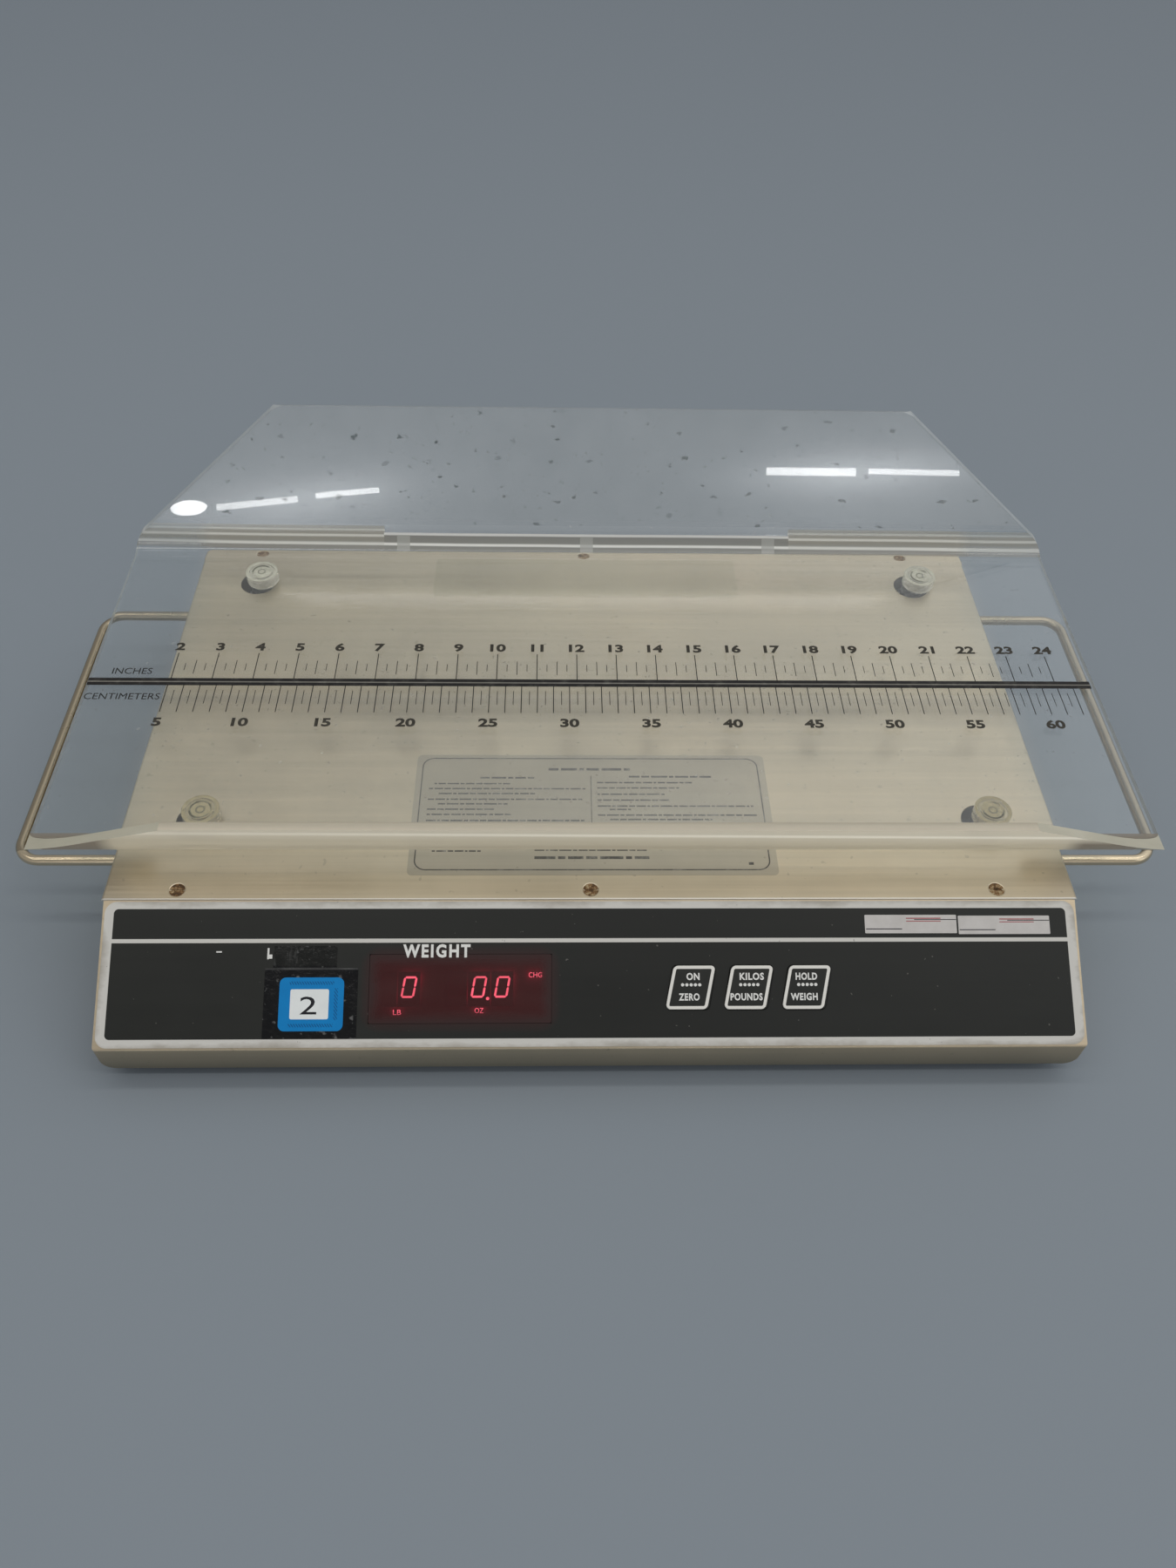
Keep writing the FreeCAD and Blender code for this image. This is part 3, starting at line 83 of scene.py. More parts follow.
class Wire:
    """A shader socket. Sums on it add Math nodes, and node() adds any other node to its tree."""

    def __init__(self, tree, socket=None):
        self.tree = tree
        self.socket = socket

    def node(self, kind, settings, inputs, out=0):
        made = self.tree.nodes.new("ShaderNode" + kind)
        for name, value in settings.items():
            if name == "stops":
                ramp = made.color_ramp.elements
                while len(ramp) < len(value):
                    ramp.new(1.0)
                for stop, (spot, tone) in zip(ramp, value):
                    stop.position = spot
                    stop.color = (*tone, 1)
            else:
                setattr(made, name, value)
        for name, value in inputs.items():
            if isinstance(value, Wire):
                self.tree.links.new(value.socket, made.inputs[name])
            else:
                made.inputs[name].default_value = value
        return Wire(self.tree, made.outputs[out] if made.outputs else None)

    def math(self, operation, first, second=0.0):
        return self.node("Math", {"operation": operation}, {0: first, 1: second})

    def __add__(self, other):
        return self.math("ADD", self, other)

    __radd__ = __add__

    def __sub__(self, other):
        return self.math("SUBTRACT", self, other)

    def __rsub__(self, other):
        return self.math("SUBTRACT", other, self)

    def __mul__(self, other):
        return self.math("MULTIPLY", self, other)

    def __truediv__(self, other):
        return self.math("DIVIDE", self, other)

    def __abs__(self):
        return self.math("ABSOLUTE", self)

    def __gt__(self, other):
        return self.math("GREATER_THAN", self, other)

    def __lt__(self, other):
        return self.math("LESS_THAN", self, other)


def axis(wire, where, letter):
    """One coordinate of a place or a way, or one channel of a tone."""
    return wire.node("SeparateXYZ", {}, {"Vector": where}, letter)


world = bpy.data.worlds.new("room")
bpy.context.scene.world = world
world.use_nodes = True
world.node_tree.nodes.clear()
wire = Wire(world.node_tree)
way = wire.node("TexCoord", {}, {}, "Generated")
lean = way.node("VectorMath", {"operation": "DOT_PRODUCT"}, {0: way, 1: bright_way}, "Value")
glare = lean.node("MapRange", {"interpolation_type": "SMOOTHSTEP"},
                  {"Value": lean, "From Min": 0.45, "From Max": 1.0, "To Min": room_light,
                   "To Max": room_light + bright_light})
way_x = axis(wire, way, "X")
way_z = axis(wire, way, "Z")
ahead = axis(wire, way, "Y") * -3.0
in_front = wire.math("MINIMUM", wire.math("MAXIMUM", ahead, 0.0), 1.0)
for glow_x, glow_z, rise, wide, high, strength in glows:
    off = ((way_x - glow_x) / wide, (way_z - glow_z - (way_x - glow_x) * rise) / high)
    halo = wire.math("POWER", glow_fade, off[0] * off[0] + off[1] * off[1])
    glare = glare + halo * in_front * strength
sky = wire.node("Background", {}, {"Color": room_tone, "Strength": glare})
wire.node("OutputWorld", {}, {"Surface": sky})

floor_shape = bmesh.new()
bmesh.ops.create_grid(floor_shape, x_segments=1, y_segments=1, size=floor_size / 2)
floor_mesh = bpy.data.meshes.new("floor")
floor_shape.to_mesh(floor_mesh)
floor_shape.free()
floor = bpy.data.objects.new("floor", floor_mesh)
bpy.context.scene.collection.objects.link(floor)
floor_paint = bpy.data.materials.new("floor_paint")
floor_paint.use_nodes = True
floor_shader = floor_paint.node_tree.nodes["Principled BSDF"]
floor_shader.inputs["Base Color"].default_value = floor_tone
floor_shader.inputs["Roughness"].default_value = 0.9
floor_mesh.materials.append(floor_paint)


def lamp(name, where, width, height, radiance, tone=(1, 1, 1), shape="RECTANGLE"):
    """A flat lamp, seen only by its light and in mirrors; radiance is its brightness as seen."""
    light = bpy.data.lights.new(name, "AREA")
    light.shape = shape
    light.size = width
    light.size_y = height
    light.color = tone
    light.energy = radiance * math.pi * width * height
    holder = bpy.data.objects.new(name, light)
    holder.matrix_world = where
    holder.visible_camera = False
    bpy.context.scene.collection.objects.link(holder)


def aimed(start, end):
    """The place of a lamp at start that shines towards end."""
    return Matrix.Translation(start) @ (end - start).to_track_quat("-Z", "Y").to_matrix().to_4x4()


middle = Vector((0, 0, 0.05))
for strip_y in (-0.55, 0.25):
    overhead = aimed(Vector((0, strip_y, 1.9)), Vector((0, strip_y, 0)))
    lamp(f"ceiling_strip_{strip_y}", overhead, width=3.6, height=0.12, radiance=4.8, tone=(1.0, 0.97, 0.92))
from_right = aimed(Vector((1.6, -0.9, 0.9)), middle)
lamp("side_lamp", from_right, width=0.8, height=0.8, radiance=0.6, tone=(0.95, 0.97, 1.0))

# Where each tube's mirrored dash begins and ends on the wall, and the way from there to the tube.
# Then the tube's thickness and its brightness.
tube_distance = 2.5
tube_dashes = [
    ((-287, 168, 110), (-0.306, -0.923, 0.2275), (-261, 168, 111), (-0.280, -0.929, 0.2285), 0.040, 12),
    ((-256, 168, 111), (-0.273, -0.934, 0.234), (-199, 172, 117), (-0.211, -0.947, 0.2375), 0.017, 7.5),
    ((-188, 172, 119), (-0.197, -0.949, 0.2462), (-143, 173, 122), (-0.147, -0.957, 0.2505), 0.015, 8.5),
    ((123, 180, 136), (0.173, -0.948, 0.265), (185, 180, 137), (0.243, -0.933, 0.2655), 0.021, 10),
    ((194, 180, 136), (0.253, -0.931, 0.2598), (256, 180, 137), (0.321, -0.912, 0.2608), 0.015, 8.5),
]
for number, (spot_a, way_a, spot_b, way_b, thick, radiance) in enumerate(tube_dashes):
    tube_a = Vector(spot_a) * MM + Vector(way_a) * tube_distance
    tube_b = Vector(spot_b) * MM + Vector(way_b) * tube_distance
    along = tube_b - tube_a
    facing = (middle - (tube_a + tube_b) / 2).normalized()
    across = facing.cross(along).normalized()
    turn = Matrix((along.normalized(), across, -facing)).transposed().to_4x4()
    lamp(f"tube_{number}", Matrix.Translation((tube_a + tube_b) / 2) @ turn, along.length, thick,
         radiance, shape="ELLIPSE" if thick > 0.03 else "RECTANGLE")


# -------------------- housing
# Pan and cover are folded from stainless sheet and brushed lengthwise, with years of wiping on
# them: fine streaks along X, cloudy smudges, and a warm tone.
def new_finish(name):
    """A material with an empty node tree, and a wire to build it with."""
    finish = bpy.data.materials.new(name)
    finish.use_nodes = True
    finish.node_tree.nodes.clear()
    return finish, Wire(finish.node_tree)


def place(wire, scale=(1, 1, 1), turn=(0, 0, 0), shift=(0, 0, 0)):
    """Object coordinates in metres, scaled, turned and shifted."""
    spot = wire.node("TexCoord", {}, {}, "Object")
    return wire.node("Mapping", {}, {"Vector": spot, "Location": shift, "Rotation": turn, "Scale": scale})


per_mm = (1 / MM, 1 / MM, 1 / MM)  # turns Object coordinates into millimetres


def noise(wire, scale, detail=2.0, roughness=0.5, turn=(0, 0, 0), shift=(0, 0, 0)):
    """Clouds of an even scale, or drawn out along an axis where scale is three numbers."""
    drawn_out = isinstance(scale, tuple)
    where = place(wire, scale if drawn_out else (1, 1, 1), turn, shift)
    return wire.node("TexNoise", {}, {"Vector": where, "Scale": 1.0 if drawn_out else scale,
                                      "Detail": detail, "Roughness": roughness})


def ramp(value, *stops):
    """A mask from a value: stops are pairs of a place and a grey."""
    greys = [(spot, (grey, grey, grey)) for spot, grey in stops]
    return value.node("ValToRGB", {"stops": greys}, {"Fac": value})


def rise(value, low, high):
    """A mask that is 0 up to low and 1 from high on."""
    return ramp(value, (low, 0.0), (high, 1.0))


def blend_tones(mask, first, second):
    """first where the mask is 0, second where it is 1."""
    tones = [tone if isinstance(tone, Wire) else (*tone[:3], 1) for tone in (first, second)]
    return mask.node("Mix", {"data_type": "RGBA"}, {0: mask, 6: tones[0], 7: tones[1]}, 2)


def larger(first, second):
    return first.math("MAXIMUM", first, second)


def reach(x, y):
    """How far a place is from the origin of x and y."""
    return x.math("SQRT", x * x + y * y)


def bump(height, strength, depth):
    return height.node("Bump", {}, {"Strength": strength, "Distance": depth, "Height": height})


def close(wire, shader_inputs):
    """The one shader of a solid finish, wired to the output."""
    shader = wire.node("BsdfPrincipled", {}, shader_inputs)
    wire.node("OutputMaterial", {}, {"Surface": shader})


def shade(tone, share):
    return tuple(channel * share for channel in tone)


def multiply(tone, shares):
    return tuple(channel * share for channel, share in zip(tone, shares))


def paint(finish, *names):
    """Gives CAD nodes a finish in place of their plain one."""
    for name in names:
        for held in nodes[name].material_slots:
            held.material = finish


def brushed_steel(name, tone, roughness, streak, rims=()):
    """Sheet steel brushed along X, with wiped smudges. rims are masks with the tone under each."""
    finish, wire = new_finish(name)
    grain = noise(wire, (5, 520, 520), 3.0, 0.6)
    brush = noise(wire, (2.6, 170, 170), 3.0, 0.7)
    wiped = noise(wire, (9, 7, 9), 5.0, 0.6)
    warmth = noise(wire, (4, 6, 6), 3.0, shift=(3, 1, 2))
    speck = rise(noise(wire, 240.0, 1.0), 0.72, 0.78)
    worn = (grain - 0.5) * streak + (brush - 0.5) * streak * 2.0 + (wiped - 0.5) * 1.1 + 0.5
    hued = blend_tones(warmth, multiply(tone, (0.96, 1.01, 1.04)), multiply(tone, (1.06, 0.99, 0.95)))
    stain = rise(noise(wire, (11, 16, 16), 5.0, 0.6, shift=(2, 5, 0)), 0.52, 0.75)
    hued = blend_tones(stain * 0.32, hued, multiply(tone, (0.80, 0.74, 0.66)))
    clean = blend_tones(worn, shade(tone, 0.70), hued)
    look = blend_tones(speck * 0.35, clean, shade(tone, 0.45))
    spot = place(wire, per_mm)
    for mask, under in rims:
        look = blend_tones(mask(wire, spot), look, under)
    close(wire, {
        "Base Color": look,
        "Metallic": 0.92,
        "Roughness": roughness + (grain - 0.5) * 0.22 + (wiped - 0.5) * 0.24,
        "Normal": bump(grain + brush, 0.12, 0.0003),
    })
    return finish


slope_top_y = -131.643  # the edge between the deck and the slope of the panel
slope_foot_y = -197.0
film_hides = 262.0  # half the width of the slope that the film hides


def low_grime(wire, spot):
    """A mask that grows towards the foot of the pan, from 34 mm down, where the pan is darker."""
    return ramp(axis(wire, spot, "Z") / 100, (0.06, 1.0), (0.34, 0.0))


def front_rim(wire, spot):
    """The deck's front edge, painted pale as a painted highlight along its bend."""
    return axis(wire, spot, "Y") < slope_top_y + 0.7


def under_film(wire, spot):
    """The slope under the film, seen in the gap round each key, painted black as painted shade."""
    on_slope = (axis(wire, spot, "Y") < slope_top_y - 10) * (axis(wire, spot, "Y") > slope_foot_y)
    return on_slope * (abs(axis(wire, spot, "X")) < film_hides)


housing_tone = (0.715, 0.630, 0.475)
# A painted highlight for the deck's front edge.
rim_highlight_tone = (0.93, 0.90, 0.84, 1)
# Painted shade: black for the steel seen in the gaps round the keys.
gap_shade_black = (0.012, 0.0125, 0.0115, 1)
deck_steel = brushed_steel("deck_steel", housing_tone, 0.42, 0.40, [(front_rim, rim_highlight_tone)])
pan_steel = brushed_steel("pan_steel", multiply(housing_tone, (1.06, 1.01, 0.95)), 0.40, 0.40,
                          [(low_grime, shade(housing_tone, 0.45)), (under_film, gap_shade_black)])
paint(deck_steel, "top_cover")
paint(pan_steel, "base_pan")


# -------------------- deck screws and plated fasteners
# Six countersunk slotted screws hold the cover; cleaning water has rusted their heads and slots.
# The screws, nuts and studs inside are bright zinc-plated steel.
def rusted_steel(name, bright, rust, deep):
    """Steel with rust that has run out of its recesses."""
    finish, wire = new_finish(name)
    patches = noise(wire, 420.0, 5.0, 0.65)
    pits = noise(wire, 1600.0, 3.0)
    rusty = blend_tones(rise(patches, 0.36, 0.56), deep, rust)
    mask = ramp(patches + (pits - 0.5) * 0.5, (0.52, 1.0), (0.64, 0.0))
    close(wire, {
        "Base Color": blend_tones(mask, bright, rusty),
        "Metallic": 0.85 - mask * 0.7,
        "Roughness": 0.42 + mask * 0.4,
        "Normal": bump(pits * mask, 0.5, 0.0002),
    })
    return finish


def plated_steel(name, tone, roughness):
    """Small turned or pressed parts with a plated skin, slightly uneven in tone."""
    finish, wire = new_finish(name)
    cloud = noise(wire, 160.0, 3.0)
    rings = noise(wire, (60, 60, 2200))
    close(wire, {
        "Base Color": blend_tones(cloud, shade(tone, 0.82), shade(tone, 1.15)),
        "Metallic": 1.0,
        "Roughness": roughness + (cloud - 0.5) * 0.3,
        "Normal": bump(rings, 0.1, 0.0001),
    })
    return finish


paint(rusted_steel("rusted_screw", (0.46, 0.38, 0.24), (0.27, 0.145, 0.055), (0.06, 0.032, 0.014)),
      "deck_screws")
paint(plated_steel("zinc_plate", (0.66, 0.67, 0.68), 0.34),
      "deck_nuts", "foot_screws", "foot_nuts", "handle_nuts", "handle_washers", "display_studs",
      "key_studs", "base_rail", "cell_bolts", "platform_bolts", "socket_screws", "overload_stops",
      "stop_nuts", "post_pins", "battery_strap", "strap_screws", "core_screws", "inlet_screws",
      "board_screws")


# -------------------- handles
# Each handle is one 1/4 inch stainless rod, bent twice and nutted inside the pan. Hands have
# polished it unevenly: it is glossier than the sheet and cloudy. Its front arm is painted
# brighter, as a painted highlight.
rod_tone = (0.46, 0.385, 0.27)
rod_low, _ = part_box("left_handle")
rod_finish, wire = new_finish("rod_steel")
rod_grain = noise(wire, (900, 40, 900), 3.0)
rod_cloud = noise(wire, 26.0, 4.0)
rod_y = axis(wire, place(wire), "Y")
# The front arm is painted brighter, as a painted highlight.
front_arm_highlight = rod_y < rod_low.y + 0.008
rod_look = blend_tones(front_arm_highlight, rod_tone, shade(rod_tone, 1.8))
close(wire, {
    "Base Color": blend_tones(rod_cloud * 0.5, rod_look, shade(rod_tone, 0.6)),
    "Metallic": 1.0,
    "Roughness": 0.25 + (rod_cloud - 0.5) * 0.2,
    "Normal": bump(rod_grain, 0.12, 0.0002),
})
paint(rod_finish, "left_handle", "right_handle")


# -------------------- feet and black mouldings
# Four black rubber feet under the pan, and the moulded parts: inlet, fuse holder, switches,
# sockets, battery case and the parts on the main board.
def moulded_plastic(name, tone, roughness, dusty=0.3):
    """Moulded plastic or rubber with a fine spark-eroded texture and dust in it."""
    finish, wire = new_finish(name)
    grit = noise(wire, 900.0)
    dust = rise(noise(wire, 45.0, 5.0, 0.7), 0.45, 0.75)
    close(wire, {
        "Base Color": blend_tones(dust * dusty, tone, (0.25, 0.24, 0.22)),
        "Roughness": roughness + (grit - 0.5) * 0.2 + dust * 0.15,
        "Normal": bump(grit, 0.25, 0.0001),
    })
    return finish


paint(moulded_plastic("foot_rubber", (0.022, 0.022, 0.022), 0.75, 0.5), "rubber_feet")
paint(moulded_plastic("black_moulding", (0.018, 0.018, 0.019), 0.45),
      "power_inlet", "fuse_holder", "tact_switches", "post_sockets")
paint(moulded_plastic("chip_case", (0.025, 0.025, 0.027), 0.5, 0.15), "board_chips")
paint(moulded_plastic("capacitor_sleeve", (0.02, 0.03, 0.07), 0.35, 0.15), "board_capacitors")
paint(moulded_plastic("battery_case", (0.045, 0.046, 0.05), 0.5), "battery")


# -------------------- weighing mechanism
# The load cell is machined aluminium; the H-frame, its blocks and the heat sink are cast or
# extruded aluminium with a dull, slightly grainy skin.
def aluminium(name, tone, roughness, grain_depth):
    finish, wire = new_finish(name)
    skin = noise(wire, 620.0, 3.0)
    cloud = noise(wire, 24.0, 4.0)
    close(wire, {
        "Base Color": blend_tones(cloud, shade(tone, 0.8), shade(tone, 1.15)),
        "Metallic": 0.9,
        "Roughness": roughness + (skin - 0.5) * 0.25,
        "Normal": bump(skin, 0.4, grain_depth),
    })
    return finish


paint(aluminium("cast_skin", (0.52, 0.53, 0.54), 0.55, 0.0004), "weighing_frame", "cell_mount_block",
      "platform_block")
paint(aluminium("milled_skin", (0.68, 0.69, 0.70), 0.30, 0.0001), "load_cell", "heat_sink")


# -------------------- supply and boards
# A laminated mains transformer with a taped winding, brass tabs and standoffs, and green
# fibreglass boards with paler tracks under the solder mask.
laminate, wire = new_finish("core_laminate")
leaf = noise(wire, (30, 30, 1800), 1.0)
close(wire, {
    "Base Color": blend_tones(leaf, (0.05, 0.048, 0.045), (0.20, 0.19, 0.18)),
    "Metallic": 0.7,
    "Roughness": 0.5 + (leaf - 0.5) * 0.3,
    "Normal": bump(leaf, 0.6, 0.0004),
})
paint(laminate, "transformer_core")

tape_wrap, wire = new_finish("winding_tape")
lap = noise(wire, (12, 12, 420))
close(wire, {
    "Base Color": blend_tones(lap, (0.42, 0.27, 0.05), (0.62, 0.44, 0.12)),
    "Roughness": 0.35 + (lap - 0.5) * 0.3,
    "Normal": bump(lap, 0.4, 0.0004),
})
paint(tape_wrap, "transformer_coil")
paint(plated_steel("brass", (0.74, 0.56, 0.27), 0.32), "battery_tabs", "inlet_pins", "board_standoffs")

board_finish, wire = new_finish("green_board")
cells = wire.node("TexBrick", {"offset": 0.5}, {
    "Vector": place(wire), "Color1": (0, 0, 0, 1), "Color2": (0.4, 0.4, 0.4, 1), "Mortar": (1, 1, 1, 1),
    "Scale": 90.0, "Mortar Size": 0.03, "Brick Width": 0.6, "Row Height": 0.3})
weave = noise(wire, 700.0)
close(wire, {
    "Base Color": blend_tones(cells, (0.012, 0.085, 0.040), (0.035, 0.17, 0.085)),
    "Roughness": 0.32 + (weave - 0.5) * 0.2,
    "Normal": bump(weave, 0.2, 0.0001),
})
paint(board_finish, "display_board", "key_board", "main_board")


# -------------------- tray and posts
# The tray is one 6 mm sheet of clear acrylic, saw cut and bent hot; the four posts are turned
# from clear rod and bonded under it. Wiping has left fine scratches and haze.
def clear_sheet(wire, tone):
    """Clear acrylic with fine wiping scratches."""
    scratch = noise(wire, (60, 900, 900), turn=(0, 0, 0.5))
    scuff = noise(wire, (900, 40, 700), turn=(0, 0, -0.3))
    lines = rise(scratch * scuff, 0.36, 0.50)
    return wire.node("BsdfPrincipled", {}, {
        "Base Color": tone,
        "Roughness": lines * 0.10,
        "IOR": 1.49,
        "Transmission Weight": 1.0,
        "Coat Weight": 0.35 + lines * 0.3,
        "Coat Roughness": 0.16,
    })


def let_light_through(wire, surface, tone):
    """Wires the output so that lamps shine straight through the piece."""
    shadow = wire.node("LightPath", {}, {}, "Is Shadow Ray")
    passing = wire.node("BsdfTransparent", {}, {"Color": tone})
    shader = wire.node("MixShader", {}, {0: shadow, 1: surface, 2: passing})
    wire.node("OutputMaterial", {}, {"Surface": shader})


# The tray: its cut edges are frosted, cream along the lip and cooler round the wall. Dust and dark
# flecks lie on the sheet and the lip is milky from handling. The rear bend carries painted reflections
# and painted shadow in long lines, the lip a painted highlight line and a painted glow, and the tray
# is painted as in shade beyond the deck's ends.
tray_low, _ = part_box("tray")
tray_t = 6.0
floor_z = 86  # the upper face of the tray's floor
wall_z = 101  # the wall is flat above the rear bend from here
deck_half = 262  # the deck lies behind the clear floor as far as this from the middle
bend_y, bend_z, bend_r = 145, 104, 21  # the rear bend's axis, and its radius at mid-thickness
bend_front_y = 140
bright_half = 142  # half the length of the bend's bright middle part
gap_pitch, gap_half, gaps_half = 128, 4.5, 150
lip_y, tip_y = -105.5, -98.0  # the lip begins here, and further back at the tray's two ends
tip_x = 250
# The painted highlight line under the lip's crest lies at this height.
crest_z = 101.9  # the bright line under the lip's worn crest
tray_finish, wire = new_finish("tray_acrylic")
spot = place(wire, per_mm)
along = axis(wire, spot, "X")
depth = axis(wire, spot, "Y")
height = axis(wire, spot, "Z")
facing = wire.node("NewGeometry", {}, {}, "True Normal")
facing_x = abs(axis(wire, facing, "X"))
facing_y = axis(wire, facing, "Y")
facing_z = axis(wire, facing, "Z")
frost = noise(wire, (12, 60, 60), 4.0, 0.7)

# What lies on the clear sheet: its tone, and in veil how much of it there is. Further down both also
# take the painted reflections and shadow of the bend and the painted highlight, glow and shade of the lip.
dust = rise(noise(wire, 300.0), 0.69, 0.74)
cell_place = place(wire, (60, 90, 110))
ragged = noise(wire, (200, 330, 330), 3.0)
cell_way = wire.node("TexVoronoi", {}, {"Vector": cell_place, "Scale": 1.0}, "Distance")
cell_kind = wire.node("TexVoronoi", {}, {"Vector": cell_place, "Scale": 1.0}, "Color")
on_wall = height > wall_z
fleck = ramp(cell_way + (ragged - 0.5) * 0.8, (0.05, 1.0), (0.15, 0.0)) * (
    axis(wire, cell_kind, "X") > 0.25) * on_wall
mottle = noise(wire, (45, 45, 45), 5.0, 0.75)
wall_grey = blend_tones(mottle, (0.20, 0.23, 0.23), (0.62, 0.65, 0.66))
grey = blend_tones(on_wall, (0.62, 0.61, 0.56), wall_grey)
dust_and_painted_light = blend_tones(fleck, grey, (0.11, 0.135, 0.135))
veil = larger(dust * 0.22 + 0.03 + on_wall * 0.12, fleck * (axis(wire, cell_kind, "Y") * 0.75 + 0.1))

# The rear bend, inside: painted reflections as cream lines and painted shadow as olive bands, by height,
# brightest over the middle, with paler gaps in them at an even pitch that are painted reflections too.
wander = noise(wire, (5, 1, 1), 1.0)
drift = wire.math("MINIMUM", along + 40, 30.0) * 0.0055
level = (height + (wander - 0.5) * 2.5 + drift - floor_z) / 20
bend = (depth > bend_front_y) * (height < wall_z) * (height > floor_z + 0.8)
inner_tones = [(0.0, (0.24, 0.225, 0.185)), (0.13, (0.25, 0.235, 0.19)), (0.15, (0.98, 0.96, 0.88)),
               (0.185, (0.98, 0.96, 0.88)), (0.21, (0.27, 0.255, 0.21)), (0.38, (0.26, 0.245, 0.205)),
               (0.41, (0.98, 0.96, 0.90)), (0.47, (0.94, 0.92, 0.88))]
outer_tones = [(0.0, (0.26, 0.24, 0.20)), (0.13, (0.27, 0.25, 0.20)), (0.15, (0.86, 0.84, 0.75)),
               (0.185, (0.86, 0.84, 0.75)), (0.22, (0.36, 0.34, 0.28)), (0.335, (0.38, 0.36, 0.30)),
               (0.36, (0.88, 0.86, 0.78)), (0.40, (0.88, 0.86, 0.78)), (0.43, (0.44, 0.42, 0.36))]
in_middle = abs(along) < bright_half
bend_painted_light = blend_tones(in_middle, level.node("ValToRGB", {"stops": outer_tones}, {"Fac": level}),
                        level.node("ValToRGB", {"stops": inner_tones}, {"Fac": level}))
middle_share = ramp(level, (0.02, 0.0), (0.07, 0.7), (0.46, 0.8), (0.49, 0.0))
end_share = ramp(level, (0.02, 0.0), (0.07, 0.7), (0.50, 0.7), (0.54, 0.0))
inside = reach(depth - bend_y, height - bend_z) < bend_r
bend_painted_share = end_share + (middle_share * inside - end_share) * in_middle
gap = (wire.math("PINGPONG", abs(along + 0.5), gap_pitch / 2) < gap_half) * (
    abs(along) < gaps_half) * (level < 0.40)
bend_painted_light = blend_tones(gap * 0.8, bend_painted_light, (0.46, 0.45, 0.39))
# Painted shade beyond the deck's ends: a dark lip, a darker, cooler floor, and fainter bend lines.
past_deck_shade = ramp((abs(along) - deck_half) / 10, (0.0, 0.0), (1.0, 0.8))
bend_painted_share = bend_painted_share * (0.75 + wander * 0.5) * bend * (1 - past_deck_shade * 0.45)
dust_and_painted_light = blend_tones(bend, dust_and_painted_light, bend_painted_light)
veil = larger(veil, bend_painted_share)

# The lip: milky all over, with a painted highlight line under its worn crest and a painted glow in its face.
at_tip = abs(along) > tip_x
on_lip = depth - lip_y - at_tip * (tip_y - lip_y) < 0
front = on_lip * (facing_y < -0.5)
crest_line = height + along * 0.008 - crest_z
glint = ramp(abs(crest_line) / 10, (0.05, 1.0), (0.15, 0.0))
glint = glint * ramp(along / 600 + 0.5, (0.1, 0.4), (0.5, 1.0))
cream = rise(crest_line / 20 + 0.5, 0.2, 0.42)
rounding = larger(ramp((lip_y - 0.5 - depth) / 10, (0.0, 0.45), (0.5, 1.0)), at_tip)
milk_tone = blend_tones(past_deck_shade, (0.56, 0.50, 0.375), (0.15, 0.12, 0.09))
lip_tone = blend_tones(cream, milk_tone, blend_tones(glint, (0.64, 0.575, 0.455), (0.86, 0.80, 0.685)))
lip_share = larger(cream * 0.84, 0.77) * rounding
dust_and_painted_light = blend_tones(on_lip, dust_and_painted_light, lip_tone)
# The lip's front face is given a painted glow in this tone.
lit_face = blend_tones(cream, milk_tone, blend_tones(glint, (0.70, 0.65, 0.52), (0.98, 0.93, 0.76)))
lip_face_glow = blend_tones(front, (0.0, 0.0, 0.0), lit_face)
veil = larger(veil, on_lip * lip_share)
# Its emission is the painted glow of the lip's front face.
grime_and_painted_light_shader = wire.node("BsdfPrincipled", {}, {
    "Base Color": dust_and_painted_light, "Roughness": 0.5, "Emission Color": lip_face_glow, "Emission Strength": 0.34})
# The floor's tint turns darker and cooler beyond the deck's ends, as painted shade.
floor_pane = blend_tones(past_deck_shade, (0.935, 0.945, 0.94), (0.80, 0.855, 0.885))
sheet = clear_sheet(wire, blend_tones(height > wall_z - 1, floor_pane, (0.975, 0.98, 0.975)))
body = wire.node("MixShader", {}, {0: veil, 1: sheet, 2: grime_and_painted_light_shader})

# The cut edges: slanted and upright ones, the top of the wall, and the ends of the lip.
cool_edge = blend_tones(frost, (0.50, 0.53, 0.53), (0.62, 0.65, 0.65))
cream_edge = blend_tones(frost, (0.40, 0.38, 0.29), (0.60, 0.57, 0.45))
edge = wire.node("BsdfPrincipled", {}, {
    "Base Color": blend_tones(on_lip, cool_edge, cream_edge), "Roughness": 0.35, "IOR": 1.49})
slant = (facing_z > 0.5) * (facing_x > 0.15)
wall_top = (facing_z > 0.5) * (height > 110)
run_out = front * (abs(along) > 303)
cut = larger(slant * (0.45 + on_lip * 0.45), wall_top * 0.3)
cut = larger(cut, larger((facing_x > 0.85) * 0.6, run_out * 0.8))
let_light_through(wire, wire.node("MixShader", {}, {0: cut, 1: body, 2: edge}), (0.90, 0.92, 0.90, 1))
paint(tray_finish, "tray")

# The posts: turned all over, so they are milky and light, with a ring of painted shade at the groove
# and a smaller one round the dimple. Those at the back are painted lighter, standing for brighter light.
post_finish, wire = new_finish("post_acrylic")
post_low, post_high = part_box("tray_posts")
post_d = 21.5
groove_r, dimple_r, rim_r = 6.0, 2.3, 9.9
post_middle, post_reach = (post_low + post_high) / 2 / MM, (post_high - post_low) / 2 / MM
spot = place(wire, per_mm)
off_x = abs(axis(wire, spot, "X") - post_middle.x) - (post_reach.x - post_d / 2)
off_y = abs(axis(wire, spot, "Y") - post_middle.y) - (post_reach.y - post_d / 2)
radius = reach(off_x, off_y)
turned = noise(wire, (120, 120, 500), 4.0, 0.7)
